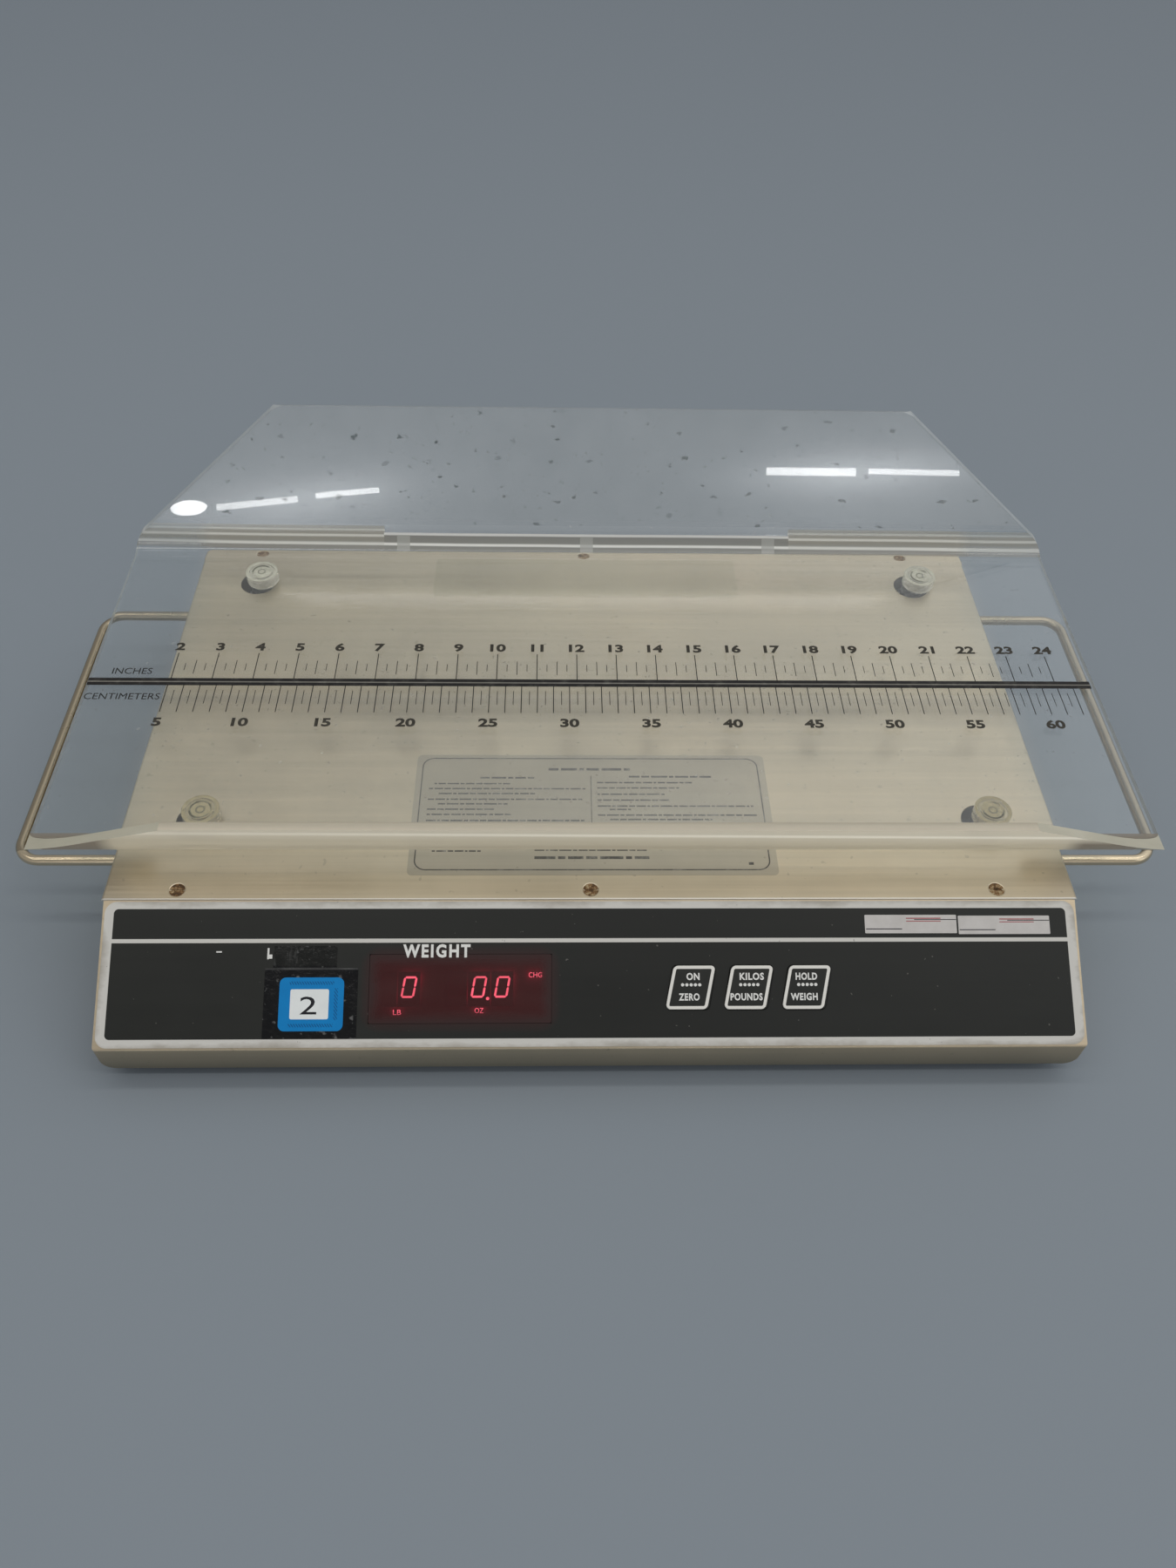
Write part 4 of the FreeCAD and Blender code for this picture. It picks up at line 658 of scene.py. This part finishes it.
# Rings of painted shade at the groove and round the dimple.
ring = ramp(abs(radius - groove_r), (0.35, 1.0), (0.8, 0.0))
dimple = ramp(abs(radius - dimple_r), (0.3, 1.0), (0.8, 0.0)) * 0.6
arc = rise(noise(wire, 75.0), 0.42, 0.52)
shaded_rings = larger(ring * arc, dimple)
rim = ramp(abs(radius - rim_r), (0.4, 1.0), (0.9, 0.0))
# The back posts are painted lighter, as painted light.
at_back = axis(wire, spot, "Y") > 0
milky = blend_tones(turned, blend_tones(at_back, (0.39, 0.325, 0.215), (0.52, 0.49, 0.42)),
                    blend_tones(at_back, (0.64, 0.555, 0.38), (0.90, 0.87, 0.80)))
milk = wire.node("BsdfPrincipled", {}, {
    "Base Color": blend_tones(shaded_rings, milky, (0.13, 0.12, 0.09)), "Roughness": 0.25, "IOR": 1.49})
share = larger(shaded_rings * 0.8, rim * 0.6)
share = larger(share, 0.5 + (turned - 0.5) * 0.6)
body = wire.node("MixShader", {}, {0: share, 1: clear_sheet(wire, (0.975, 0.98, 0.965, 1)), 2: milk})
let_light_through(wire, body, (0.75, 0.76, 0.73, 1))
paint(post_finish, "tray_posts")


# -------------------- ruler on the tray
# Screen printed on the tray's floor in black: a double line from edge to edge, inches behind it
# and centimetres before it, with bold wide figures and the two words at its left end.
INCH = 25.4
ink = 0.05
print_gap = 0.01  # a print stands clear of its sheet by this
print_z = tray_low.z / MM + tray_t + print_gap + ink / 2
ruler_x0 = tray_low.x / MM + 0.3
ruler_length = 632.0
ruler_y = 22.2
line_width = 2.7
line_off = 1.85
inch_tick = (3.0, 26.2, 0.55)
half_tick = (7.2, 19.4, 0.45)
quarter_tick = (10.3, 16.6, 0.4)
cm_tick = (-3.0, -26.2, 0.55)
half_cm_tick = (-7.4, -19.2, 0.4)
inch_figure_y = 32.3
cm_figure_y = -34.4
first_inch, last_inch = 2, 24
first_cm, last_cm = 5, 62
bfont_cap = 0.729  # height of a capital in the built-in font, as a share of its size


def plate(shape, middle, size, corner=0.0, steps=6):
    """Adds a flat plate, with its four upright edges rounded."""
    made = bmesh.ops.create_cube(
        shape, size=1, matrix=Matrix.Translation(middle) @ Matrix.Diagonal((*size, 1)))
    if corner:
        edges = dict.fromkeys(edge for vert in made["verts"] for edge in vert.link_edges)
        upright = [edge for edge in edges if abs((edge.verts[0].co - edge.verts[1].co).z) > size[2] / 2]
        bmesh.ops.bevel(shape, geom=upright, offset=corner, offset_type="OFFSET", affect="EDGES",
                        segments=steps, profile=0.5, material=-1)


def lettering(shape, words, middle, cap, wide=1.0, bold=0.0, length=0.0, thick=ink):
    """Adds flat letters centred on a place: cap is the height of a capital, in millimetres.
    They are stretched by wide, or to a length if there is one."""
    curve = bpy.data.curves.new("letters", "FONT")
    curve.body = words
    curve.size = cap / bfont_cap
    curve.offset = bold
    curve.space_character = 1.0 + bold * 0.7 if length else 1.0
    curve.extrude = thick / 2
    curve.resolution_u = 3
    holder = bpy.data.objects.new("letters", curve)
    mesh = bpy.data.meshes.new_from_object(holder)
    bpy.data.objects.remove(holder)
    bpy.data.curves.remove(curve)
    xs = [vert.co.x for vert in mesh.vertices]
    centre = Vector(((min(xs) + max(xs)) / 2, cap / 2, 0))
    wide = length / (max(xs) - min(xs)) if length else wide
    stretch = Matrix.Diagonal((wide, 1, 1, 1))
    mesh.transform(Matrix.Translation(middle) @ stretch @ Matrix.Translation(-centre))
    shape.from_mesh(mesh)
    bpy.data.meshes.remove(mesh)


def join(part, shape):
    """Pours a small shape into the one of its piece."""
    mesh = bpy.data.meshes.new("part")
    part.to_mesh(mesh)
    part.free()
    shape.from_mesh(mesh)
    bpy.data.meshes.remove(mesh)


def add_piece(shape, name, finish, body, where=Matrix.Scale(MM, 4)):
    """Makes a finished piece of a mesh drawn in millimetres, and lets it ride on a body."""
    bmesh.ops.remove_doubles(shape, verts=shape.verts, dist=0.0005)
    bmesh.ops.recalc_face_normals(shape, faces=shape.faces)
    # A bevel lists its faces in another order each run, so they are put in order of place.
    in_order = sorted(shape.faces, key=lambda face: tuple(face.calc_center_median()))
    ranks = {face: rank for rank, face in enumerate(in_order)}
    shape.faces.sort(key=ranks.get)
    bmesh.ops.transform(shape, matrix=where, verts=shape.verts)
    mesh = bpy.data.meshes.new(name)
    shape.to_mesh(mesh)
    shape.free()
    mesh.materials.append(finish)
    piece = bpy.data.objects.new(name, mesh)
    bpy.context.scene.collection.objects.link(piece)
    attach(piece, body)


def printed_ink(name, tone, roughness, wear):
    """Screen ink, a little thin and worn in places."""
    finish, wire = new_finish(name)
    worn = rise(noise(wire, 140.0, 4.0, 0.7), 0.50, 0.72)
    close(wire, {
        "Base Color": blend_tones(worn * wear, tone, (0.45, 0.43, 0.38)),
        "Roughness": roughness + worn * 0.2,
        "Specular IOR Level": 0.2,
    })
    return finish


def tick(at, kind):
    near, far, width = kind
    plate(ruler, (ruler_x0 + at, ruler_y + (near + far) / 2, print_z), (width, abs(far - near), ink))


ruler_ink = printed_ink("ruler_ink", (0.016, 0.015, 0.014), 0.5, 0.10)
ruler, core, figures = bmesh.new(), bmesh.new(), bmesh.new()
for lines, y, width in ((ruler, -line_off, line_width), (ruler, line_off, line_width),
                        (core, 0, 2 * line_off - line_width)):
    plate(lines, (ruler_x0 + ruler_length / 2, ruler_y + y, print_z), (ruler_length, width, ink))
for quarter in range(4 * first_inch, 4 * last_inch + 1):
    kind = inch_tick if quarter % 4 == 0 else half_tick if quarter % 2 == 0 else quarter_tick
    tick(quarter * INCH / 4, kind)
for half in range(2 * first_cm, 2 * last_cm + 1):
    tick(half * 5.0, cm_tick if half % 2 == 0 else half_cm_tick)
numbers = [(inch, inch * INCH, inch_figure_y) for inch in range(first_inch, last_inch + 1)]
numbers += [(cm, cm * 10.0, cm_figure_y) for cm in range(first_cm, last_cm, 5)]
for number, at, y in numbers:
    lettering(figures, str(number), (ruler_x0 + at, ruler_y + y, print_z), cap=6.7, wide=1.3, bold=0.36)
for word, at, y in (("INCHES", 25.4, 9.6), ("CENTIMETERS", 24.2, -12.8)):
    lettering(ruler, word, (ruler_x0 + at, ruler_y + y, print_z), cap=5.6, wide=0.97)
add_piece(core, "ruler_core", printed_ink("core_ink", (0.19, 0.18, 0.155), 0.5, 0.3),
          "infant_tray")
add_piece(figures, "ruler_figures", printed_ink("figure_ink", (0.042, 0.037, 0.028), 0.5, 0.10),
          "infant_tray")
add_piece(ruler, "ruler_print", ruler_ink, "infant_tray")


# -------------------- control overlay
# A polycarbonate film printed from behind and stuck on the sloping panel: white border and rule,
# charcoal fields. The white has yellowed and holds grime along its edges.
slope_rise, slope_run = 38.8, 70.4
panel_lean = math.atan2(slope_rise, slope_run)
film_t = 0.5
film_gap = 0.6  # from the panel's upper edge to the film
film_low, film_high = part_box("control_overlay")
panel_y = film_high.y / MM + film_gap * math.cos(panel_lean)
panel_z = film_high.z / MM + film_gap * math.sin(panel_lean) - film_t * math.cos(panel_lean)
film_half = (film_high.x - film_low.x) / 2 / MM
film_length = 78.6
field_half = 263.3
field_top, field_foot = 4.6, 74.7
rule_top, rule_foot = 21.0, 23.2
field_corner = 2.6
film_corner = 6.5
on_panel = Matrix.Scale(MM, 4) @ Matrix.Translation((0, panel_y, panel_z))
on_panel = on_panel @ Matrix.Rotation(panel_lean, 4, "X")
film_top = film_t + print_gap
ink_white = (0.68, 0.66, 0.61)
ink_black = (0.0158, 0.0166, 0.0140)


def panel_place(wire):
    """Millimetres on the panel: X across, Y up the slope from its upper edge, Z out of it."""
    turned = Matrix.Rotation(-panel_lean, 3, "X") @ Vector((0, panel_y, panel_z))
    return place(wire, per_mm, (-panel_lean, 0, 0), -turned)


def round_box(x, y, half_x, half_y, corner):
    """Distance to the outline of a rounded box, less than 0 inside it."""
    out_x = larger(abs(x) - (half_x - corner), 0.0)
    out_y = larger(abs(y) - (half_y - corner), 0.0)
    return reach(out_x, out_y) - corner


def crisp(distance, soft=0.15):
    """A mask that is 1 where the distance is below 0, with a thin soft rim."""
    return distance.node("Math", {"operation": "SUBTRACT", "use_clamp": True}, {0: 0.5, 1: distance / soft})


film, wire = new_finish("panel_film")
spot = panel_place(wire)
across = axis(wire, spot, "X")
up = axis(wire, spot, "Y")
field = crisp(round_box(across, up + (field_top + field_foot) / 2, field_half,
                        (field_foot - field_top) / 2, field_corner))
rule = crisp(abs(up + (rule_top + rule_foot) / 2) - (rule_foot - rule_top) / 2)
rim = round_box(across, up + film_gap + film_length / 2, film_half, film_length / 2, film_corner)
smear = noise(wire, (14, 30, 30), 5.0, 0.7)
streaks = noise(wire, (3, 260, 260), 3.0)
grime = rise(smear + (rim + 3.0) * 0.05, 0.50, 0.72)
nick = rise(noise(wire, 420.0, 1.0), 0.785, 0.80)
white = blend_tones(grime * 0.55, ink_white, (0.23, 0.19, 0.13))
black = blend_tones(smear * 0.5 + streaks * 0.3, shade(ink_black, 0.8), shade(ink_black, 1.5))
deepest = ramp(abs(across - 35.0) / 250, (0.1, 1.0), (0.6, 0.0))
black = blend_tones(deepest * 0.4, black, shade(ink_black, 0.45))
window_x, window_s = -73.4, 48.1  # its middle; s is measured down the slope
window_half, window_corner = (49.5, 18.5), 7.0
red_haze = (0.036, 0.0135, 0.0125)
beside = round_box(across - window_x, up + window_s, *window_half, window_corner)
black = blend_tones(ramp(beside / 10, (0.0, 0.8), (0.55, 0.0)), black, red_haze)
close(wire, {
    "Base Color": blend_tones(nick * 0.5, blend_tones(field * (1 - rule), white, black), (0.20, 0.19, 0.17)),
    "Roughness": 0.42 + (smear - 0.5) * 0.3,
    "Specular IOR Level": 0.32,
    "Normal": bump(streaks, 0.06, 0.0002),
})
paint(film, "control_overlay")


def stick_on_panel(shape, name, finish):
    add_piece(shape, name, finish, "housing", on_panel)


# The heading over the window, and what is left of the white print beside it.
heading = bmesh.new()
heading_z = film_top + ink / 2
lettering(heading, "WEIGHT", (-86.65, -27.5, heading_z), cap=6.9, bold=0.36, length=36.8)
for x, y, wide, high in ((-178.2, -29.0, 1.0, 6.0), (-176.9, -30.6, 1.8, 2.2), (-204.9, -28.0, 3.0, 0.7)):
    plate(heading, (x, y, heading_z), (wide, high, ink))
white_ink = printed_ink("white_ink", (0.84, 0.83, 0.79), 0.4, 0.08)
stick_on_panel(heading, "weight_heading", white_ink)


# -------------------- display window
# A dark red filter let into the film. Behind it five seven-segment modules stand on their board:
# three show a nought. Three small legends light up beside them.
filter_finish, wire = new_finish("red_filter")
spot = panel_place(wire)
along = axis(wire, spot, "X") - window_x
up = axis(wire, spot, "Y") + window_s
rim = round_box(along, up, *window_half, window_corner)
haze = noise(wire, (20, 90, 90), 3.0)
veil = rise((rim + 9.0 + (haze - 0.5) * 5.0) / 9.0, 0.0, 0.9)
red = blend_tones(haze, (0.074, 0.0135, 0.0145), (0.108, 0.0215, 0.021))
close(wire, {
    "Base Color": blend_tones(veil, red, red_haze),
    "Roughness": 0.24 + veil * 0.18 + (haze - 0.5) * 0.2,
    "Specular IOR Level": 0.32,
    "Alpha": 0.52 + veil * 0.48,
})
paint(filter_finish, "display_window")
paint(moulded_plastic("module_face", (0.022, 0.004, 0.005), 0.6, 0.03), "display_digits", "unit_lamps")

module_face = -7.0  # the modules stand in a recess of this depth
digit_face = module_face + 0.03
lit_t = 0.1
digit_height = 10.6
digit_width = 6.3
segment = 1.15
digit_slant = 0.17
digit_x = (-115.0, -102.2, -76.6, -63.8, -51.0)
shown = ("", "0", "", "0", "0")
digit_s = 47.0
dot_x, dot_s, dot_d = -59.0, 53.3, 1.8
lit_for = {"0": "abcdef", "": ""}
half_up = digit_height / 4
bars = {  # of a figure: to which side, how high, and whether upright
    "a": (0, 2 * half_up, False), "b": (1, half_up, True), "c": (1, -half_up, True),
    "d": (0, -2 * half_up, False), "e": (-1, -half_up, True), "f": (-1, half_up, True), "g": (0, 0, False),
}


def glow(name, tone, strength):
    """Light from behind a diffusing legend, slightly uneven."""
    finish, wire = new_finish(name)
    uneven = noise(wire, 300.0, 1.0)
    close(wire, {
        "Base Color": (0.05, 0.0, 0.0, 1),
        "Roughness": 0.5,
        "Emission Color": blend_tones(uneven, shade(tone, 0.85), tone),
        "Emission Strength": strength,
    })
    return finish


lit, dark = bmesh.new(), bmesh.new()
for x, figure in zip(digit_x, shown):
    for letter, (side, height, upright) in bars.items():
        bar = bmesh.new()
        long = digit_height / 2 - segment * 0.25 if upright else digit_width - segment * 0.25
        size = (segment, long, lit_t) if upright else (long, segment, lit_t)
        plate(bar, (side * digit_width / 2, height, 0), size, segment * 0.45, 1)
        lean = Matrix(((1, digit_slant, 0, x), (0, 1, 0, -digit_s), (0, 0, 1, digit_face), (0, 0, 0, 1)))
        bmesh.ops.transform(bar, matrix=lean, verts=bar.verts)
        join(bar, lit if letter in lit_for[figure] else dark)
plate(lit, (dot_x, -dot_s, digit_face), (dot_d, dot_d, lit_t), 0.85, 3)
# Each legend's middle, across and down the slope, and its length.
legends = (("LB", -108.4, 60.5, 4.5), ("OZ", -63.6, 59.7, 4.9), ("CHG", -32.8, 40.4, 7.4))
for words, x, s, length in legends:
    lettering(lit, words, (x, -s, digit_face + lit_t / 2), cap=2.9, bold=0.02, length=length, thick=lit_t)
add_piece(lit, "lit_segments", glow("red_glow", (1.0, 0.12, 0.18), 8.0), "housing", on_panel)
# The unlit segments are given a faint painted glow.
add_piece(dark, "dark_segments", glow("idle_segment", (0.20, 0.012, 0.02), 0.12), "housing",
          on_panel)

# A thin sheet lies round the modules, just below their faces, with a painted glow that spreads each
# light into a halo.
halo_glow_finish, wire = new_finish("painted_halo")
spot = panel_place(wire)
across = axis(wire, spot, "X")
up = axis(wire, spot, "Y")
nearest = reach(across - dot_x, up + dot_s)
for x, figure in zip(digit_x, shown):
    if figure:
        height = up + digit_s
        ring = round_box(across - x - height * digit_slant, height, digit_width / 2, digit_height / 2, 0.5)
        nearest = wire.math("MINIMUM", nearest, abs(ring) - segment / 2)
for _, x, s, length in legends:
    nearest = wire.math("MINIMUM", nearest, 1.8 + round_box(across - x, up + s, length / 2, 1.3, 0.6))
spread = wire.math("POWER", 0.58, larger(nearest, 0.0))
# The sheet's emission is a painted glow round the lit segments and legends.
close(wire, {
    "Base Color": (0.05, 0.004, 0.006, 1),
    "Roughness": 0.6,
    "Emission Color": blend_tones(spread, (0.010, 0.0, 0.0005), (1.0, 0.012, 0.075)),
    "Emission Strength": 2.6,
    "Alpha": 0.12 + spread * 0.6,
})
halo = bmesh.new()
halo_z = module_face - 0.11
plate(halo, (window_x, -window_s, halo_z), (98.0, 36.0, 0.04))
add_piece(halo, "painted_halo", halo_glow_finish, "housing", on_panel)


# -------------------- keys
# Three domed areas of the film press down on switches. Each has a white outline that leans like
# the figures, two words, and a row of dots between them.
key_size = 23.8
key_lean = 5.2  # how far the top of a key's outline leans over its foot
key_s = 47.9
key_line = 1.7
key_top = 1.6 + print_gap + ink / 2
upper_s, dots_s, lower_s = 41.9, 46.5, 52.9
dot_pitch = 2.35
# Each key's node, body and middle, then its two words, with the middle and the length of each.
key_words = (("key_zero", "zero_key", 52.4, ("ON", 53.6, 7.2), ("ZERO", 51.3, 11.4)),
             ("key_units", "units_key", 84.3, ("KILOS", 85.9, 13.4), ("POUNDS", 82.7, 17.6)),
             ("key_hold", "hold_key", 116.2, ("HOLD", 116.0, 11.9), ("WEIGH", 114.4, 14.8)))


def key_film(name, key_x):
    """Charcoal film with the key's own leaning white outline."""
    finish, wire = new_finish(name)
    spot = panel_place(wire)
    up = axis(wire, spot, "Y") + key_s
    along = axis(wire, spot, "X") - key_x + 0.3 - up * (key_lean / key_size)
    edge = round_box(along, up, key_size / 2 - 0.45, key_size / 2 - 0.15, 2.5)
    outline = crisp(abs(edge + key_line / 2) - key_line / 2)
    smear = noise(wire, (40, 60, 60), 4.0, 0.7)
    black = blend_tones(smear, shade(ink_black, 0.8), shade(ink_black, 1.5))
    close(wire, {
        "Base Color": blend_tones(outline, black, shade(ink_white, 1.25)),
        "Roughness": 0.42 + (smear - 0.5) * 0.3,
        "Specular IOR Level": 0.32,
        "Normal": bump(smear, 0.05, 0.0002),
    })
    return finish


for node, body, key_x, upper, lower in key_words:
    paint(key_film(f"{node}_film", key_x), node)
    words = bmesh.new()
    for (word, x, length), s in ((upper, upper_s), (lower, lower_s)):
        lettering(words, word, (x, -s, key_top), cap=3.75, bold=0.18, length=length)
    for dot in range(-2, 3):
        plate(words, (key_x + 0.1 + dot * dot_pitch, -dots_s, key_top), (1.8, 1.7, ink), 0.75, 2)
    add_piece(words, f"{node}_words", white_ink, body, on_panel)


# -------------------- tape patch, stickers and labels
# A service sticker sits on a square of black tape beside the window: blue, with a white field and
# a figure written by hand. Two narrow paper slips are stuck in the title band.
tape_at, tape_size = (-154.3, -55.7), (50.4, 37.6)
flap_at, flap_size = (-158.0, -31.0), (34.4, 12.2)
seam_y = tape_at[1] + tape_size[1] / 2
tape_finish, wire = new_finish("black_tape")
wrinkle = noise(wire, 120.0, 4.0, 0.65)
tape_y = axis(wire, panel_place(wire), "Y")
upper = rise((tape_y - seam_y) / 2 + wrinkle - 0.5, 0.2, 0.8)
scratched = rise(noise(wire, (420, 90, 90), 3.0, turn=(0.5, 0, 0.4)), 0.60, 0.72)
chalk = rise(noise(wire, 210.0, 3.0), 0.64, 0.72)
lifted = crisp(abs(tape_y - seam_y + 0.3) - 0.5, 0.6)
chalk = larger(chalk, larger(scratched * upper * 0.35, lifted * wrinkle))
base = blend_tones(upper, (0.003, 0.003, 0.0035), (0.0105, 0.011, 0.0095))
close(wire, {
    "Base Color": blend_tones(chalk * 0.4, base, (0.30, 0.30, 0.29)),
    "Roughness": 0.22 + (wrinkle - 0.5) * 0.5,
    "Specular IOR Level": 0.3,
    "Normal": bump(wrinkle, 0.7, 0.0008),
})
tape = bmesh.new()
plate(tape, (*tape_at, film_top + 0.10), (*tape_size, 0.2), 0.6, 2)
plate(tape, (*flap_at, film_top + 0.06), (*flap_size, 0.12), 0.6, 2)
stick_on_panel(tape, "black_tape", tape_finish)

sticker_at, sticker_size = (-153.8, -56.2), (34.8, 28.6)
sticker_finish, wire = new_finish("service_sticker")
spot = panel_place(wire)
sticker_x = axis(wire, spot, "X") - sticker_at[0]
sticker_y = axis(wire, spot, "Y") - sticker_at[1]
white_field = crisp(round_box(sticker_x + 1.0, sticker_y, 10.4, 8.0, 1.0))
fade = noise(wire, 90.0, 4.0, 0.6)
blue = blend_tones(fade, (0.0, 0.195, 0.52), (0.0, 0.25, 0.62))
paper = blend_tones(fade, (0.80, 0.83, 0.82), (0.93, 0.95, 0.93))
dashes = wire.math("SINE", (sticker_x + sticker_y * 0.7) * 4.5) > 0.1
band = crisp(abs(abs(sticker_y) - 11.3) - 0.9) * crisp(abs(sticker_x) - 12.0)
band = larger(band, crisp(abs(sticker_x - 13.2) - 1.0) * crisp(abs(sticker_y) - 8.5))
printing = band * dashes
close(wire, {
    "Base Color": blend_tones(white_field, blend_tones(printing * 0.6, blue, (0.0, 0.03, 0.12)), paper),
    "Roughness": 0.45 + (fade - 0.5) * 0.2,
    "Specular IOR Level": 0.25,
})
sticker = bmesh.new()
plate(sticker, (*sticker_at, film_top + 0.25), (*sticker_size, 0.12), 3.4, 6)
stick_on_panel(sticker, "service_sticker", sticker_finish)

pen_ink = printed_ink("pen_ink", (0.02, 0.02, 0.025), 0.4, 0.0)
figure = bmesh.new()
lettering(figure, "2", (-155.3, -56.6, film_top + 0.34), cap=10.0, length=9.0)
stick_on_panel(figure, "written_figure", pen_ink)

slip_finish, wire = new_finish("paper_slip")
fade = noise(wire, 120.0, 4.0, 0.6)
close(wire, {"Base Color": blend_tones(fade, (0.52, 0.49, 0.46), (0.70, 0.67, 0.64)), "Roughness": 0.6})
slips, slip_lines, slip_rules = bmesh.new(), bmesh.new(), bmesh.new()
slip_strokes = ((slip_lines, 7.2, 3.2, 19.4, 0.5), (slip_lines, 7.2, 1.6, 19.4, 0.4),
                (slip_rules, 13.8, 2.5, 23.6, 0.4), (slip_rules, -15.1, -2.7, 20.2, 0.5))
for slip_x, slip_s in ((175.8, 13.5), (228.2, 14.0)):
    plate(slips, (slip_x, -slip_s, film_top + 0.06), (51.4, 10.2, 0.12), 0.3, 1)
    for strokes, x, y, long, high in slip_strokes:
        plate(strokes, (slip_x + x, -slip_s + y, film_top + 0.14), (long, high, ink))
stick_on_panel(slips, "paper_slips", slip_finish)
stick_on_panel(slip_lines, "slip_red_lines", printed_ink("red_pen", (0.38, 0.05, 0.06), 0.5, 0.3))
stick_on_panel(slip_rules, "slip_black_lines", pen_ink)


# -------------------- labels on the deck
# Two clear film labels under the tray: a plain strip at the back and a framed one in front, whose
# frame, divider and ruled lines stand for the printing that it is made for.
_, deck_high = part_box("top_cover")
deck_z = deck_high.z / MM
label_t = 0.08
strip, label = bmesh.new(), bmesh.new()
plate(strip, (-0.9, 139.5, deck_z + label_t / 2), (212.0, 38.0, label_t), 2.0, 4)
plate(label, (-0.2, -71.2, deck_z + label_t / 2), (210.4, 88.6, label_t), 3.0, 4)
add_piece(strip, "deck_strip", brushed_steel("strip_film", (0.64, 0.57, 0.42), 0.43, 0.28),
          "housing")
add_piece(label, "deck_labels", brushed_steel("label_film", (0.54, 0.49, 0.39), 0.43, 0.28),
          "housing")


def outline(shape, middle, size, corner, width, thick):
    """Adds a rounded frame of even width."""
    sheet = bmesh.new()
    plate(sheet, (0, 0, 0), (*size, thick), corner, 8)
    top = [face for face in sheet.faces if face.normal.z > 0.9]
    rest = [face for face in sheet.faces if face.normal.z <= 0.9]
    bmesh.ops.delete(sheet, geom=rest, context="FACES")
    inner = bmesh.ops.inset_region(sheet, faces=top, thickness=width, use_even_offset=True,
                                   use_boundary=True)["faces"]
    bmesh.ops.delete(sheet, geom=top, context="FACES")
    bmesh.ops.solidify(sheet, geom=inner, thickness=thick)
    bmesh.ops.translate(sheet, verts=sheet.verts, vec=middle)
    join(sheet, shape)


label_z = deck_z + label_t + 0.02
word_lengths = (3.2, 5.1, 1.4, 4.0, 6.3, 2.2, 4.6, 3.4, 7.0, 1.8, 5.6)  # in heights of the row


def greeked_row(shape, x, end, y, high, first):
    """Adds a row of dashes as long as words, from x to its end."""
    word = first
    while x < end - 1:
        long = min(word_lengths[word % len(word_lengths)] * high, end - x)
        plate(shape, (x + long / 2, y, label_z), (long, high, ink))
        x += long + 0.8 * high
        word += 1


frame_print = bmesh.new()
outline(frame_print, (-0.6, -70.7, label_z), (203.0, 82.6), 7.0, 0.75, ink)
plate(frame_print, (-0.7, -63.1, label_z), (0.5, 38.8, ink))
# Each row of print: its two ends, its place on the deck, and the height of its letters.
rows = ((-26.2, 23.2, -38.4, 1.9), (-66.9, -34.7, -45.2, 1.4), (22.2, 73.3, -44.2, 1.4),
        (-92.4, -64.5, -98.4, 1.0), (-33.8, 31.8, -97.7, 1.1), (-33.8, 31.8, -103.1, 1.9),
        (89.4, 92.2, -95.0, 1.8), (88.4, 91.2, -107.3, 1.8),
        (-94.0, -49.0, -49.9, 1.1), (-97.0, -4.0, -53.8, 1.1), (-91.0, -34.0, -57.6, 1.1),
        (-97.0, -6.0, -62.0, 1.1), (-91.0, -50.0, -65.5, 1.1), (-97.0, -58.0, -69.6, 1.1),
        (-97.0, -48.0, -73.5, 1.1), (-97.0, -5.0, -78.0, 1.1), (-92.0, -70.0, -80.5, 0.9),
        (3.0, 60.0, -48.9, 1.1), (3.0, 52.0, -53.1, 1.1), (3.0, 44.0, -58.0, 1.1),
        (3.0, 46.0, -62.5, 1.1), (3.0, 95.0, -67.1, 1.1), (10.0, 24.0, -69.7, 1.1),
        (3.0, 97.0, -73.9, 1.1), (10.0, 70.0, -77.2, 1.1), (3.0, 94.0, -80.9, 1.1))
for number, (x, end, y, high) in enumerate(rows):
    greeked_row(frame_print, x, end, y, high, number * 3)
add_piece(frame_print, "label_print", printed_ink("label_ink", (0.10, 0.095, 0.085), 0.5, 0.5),
          "housing")
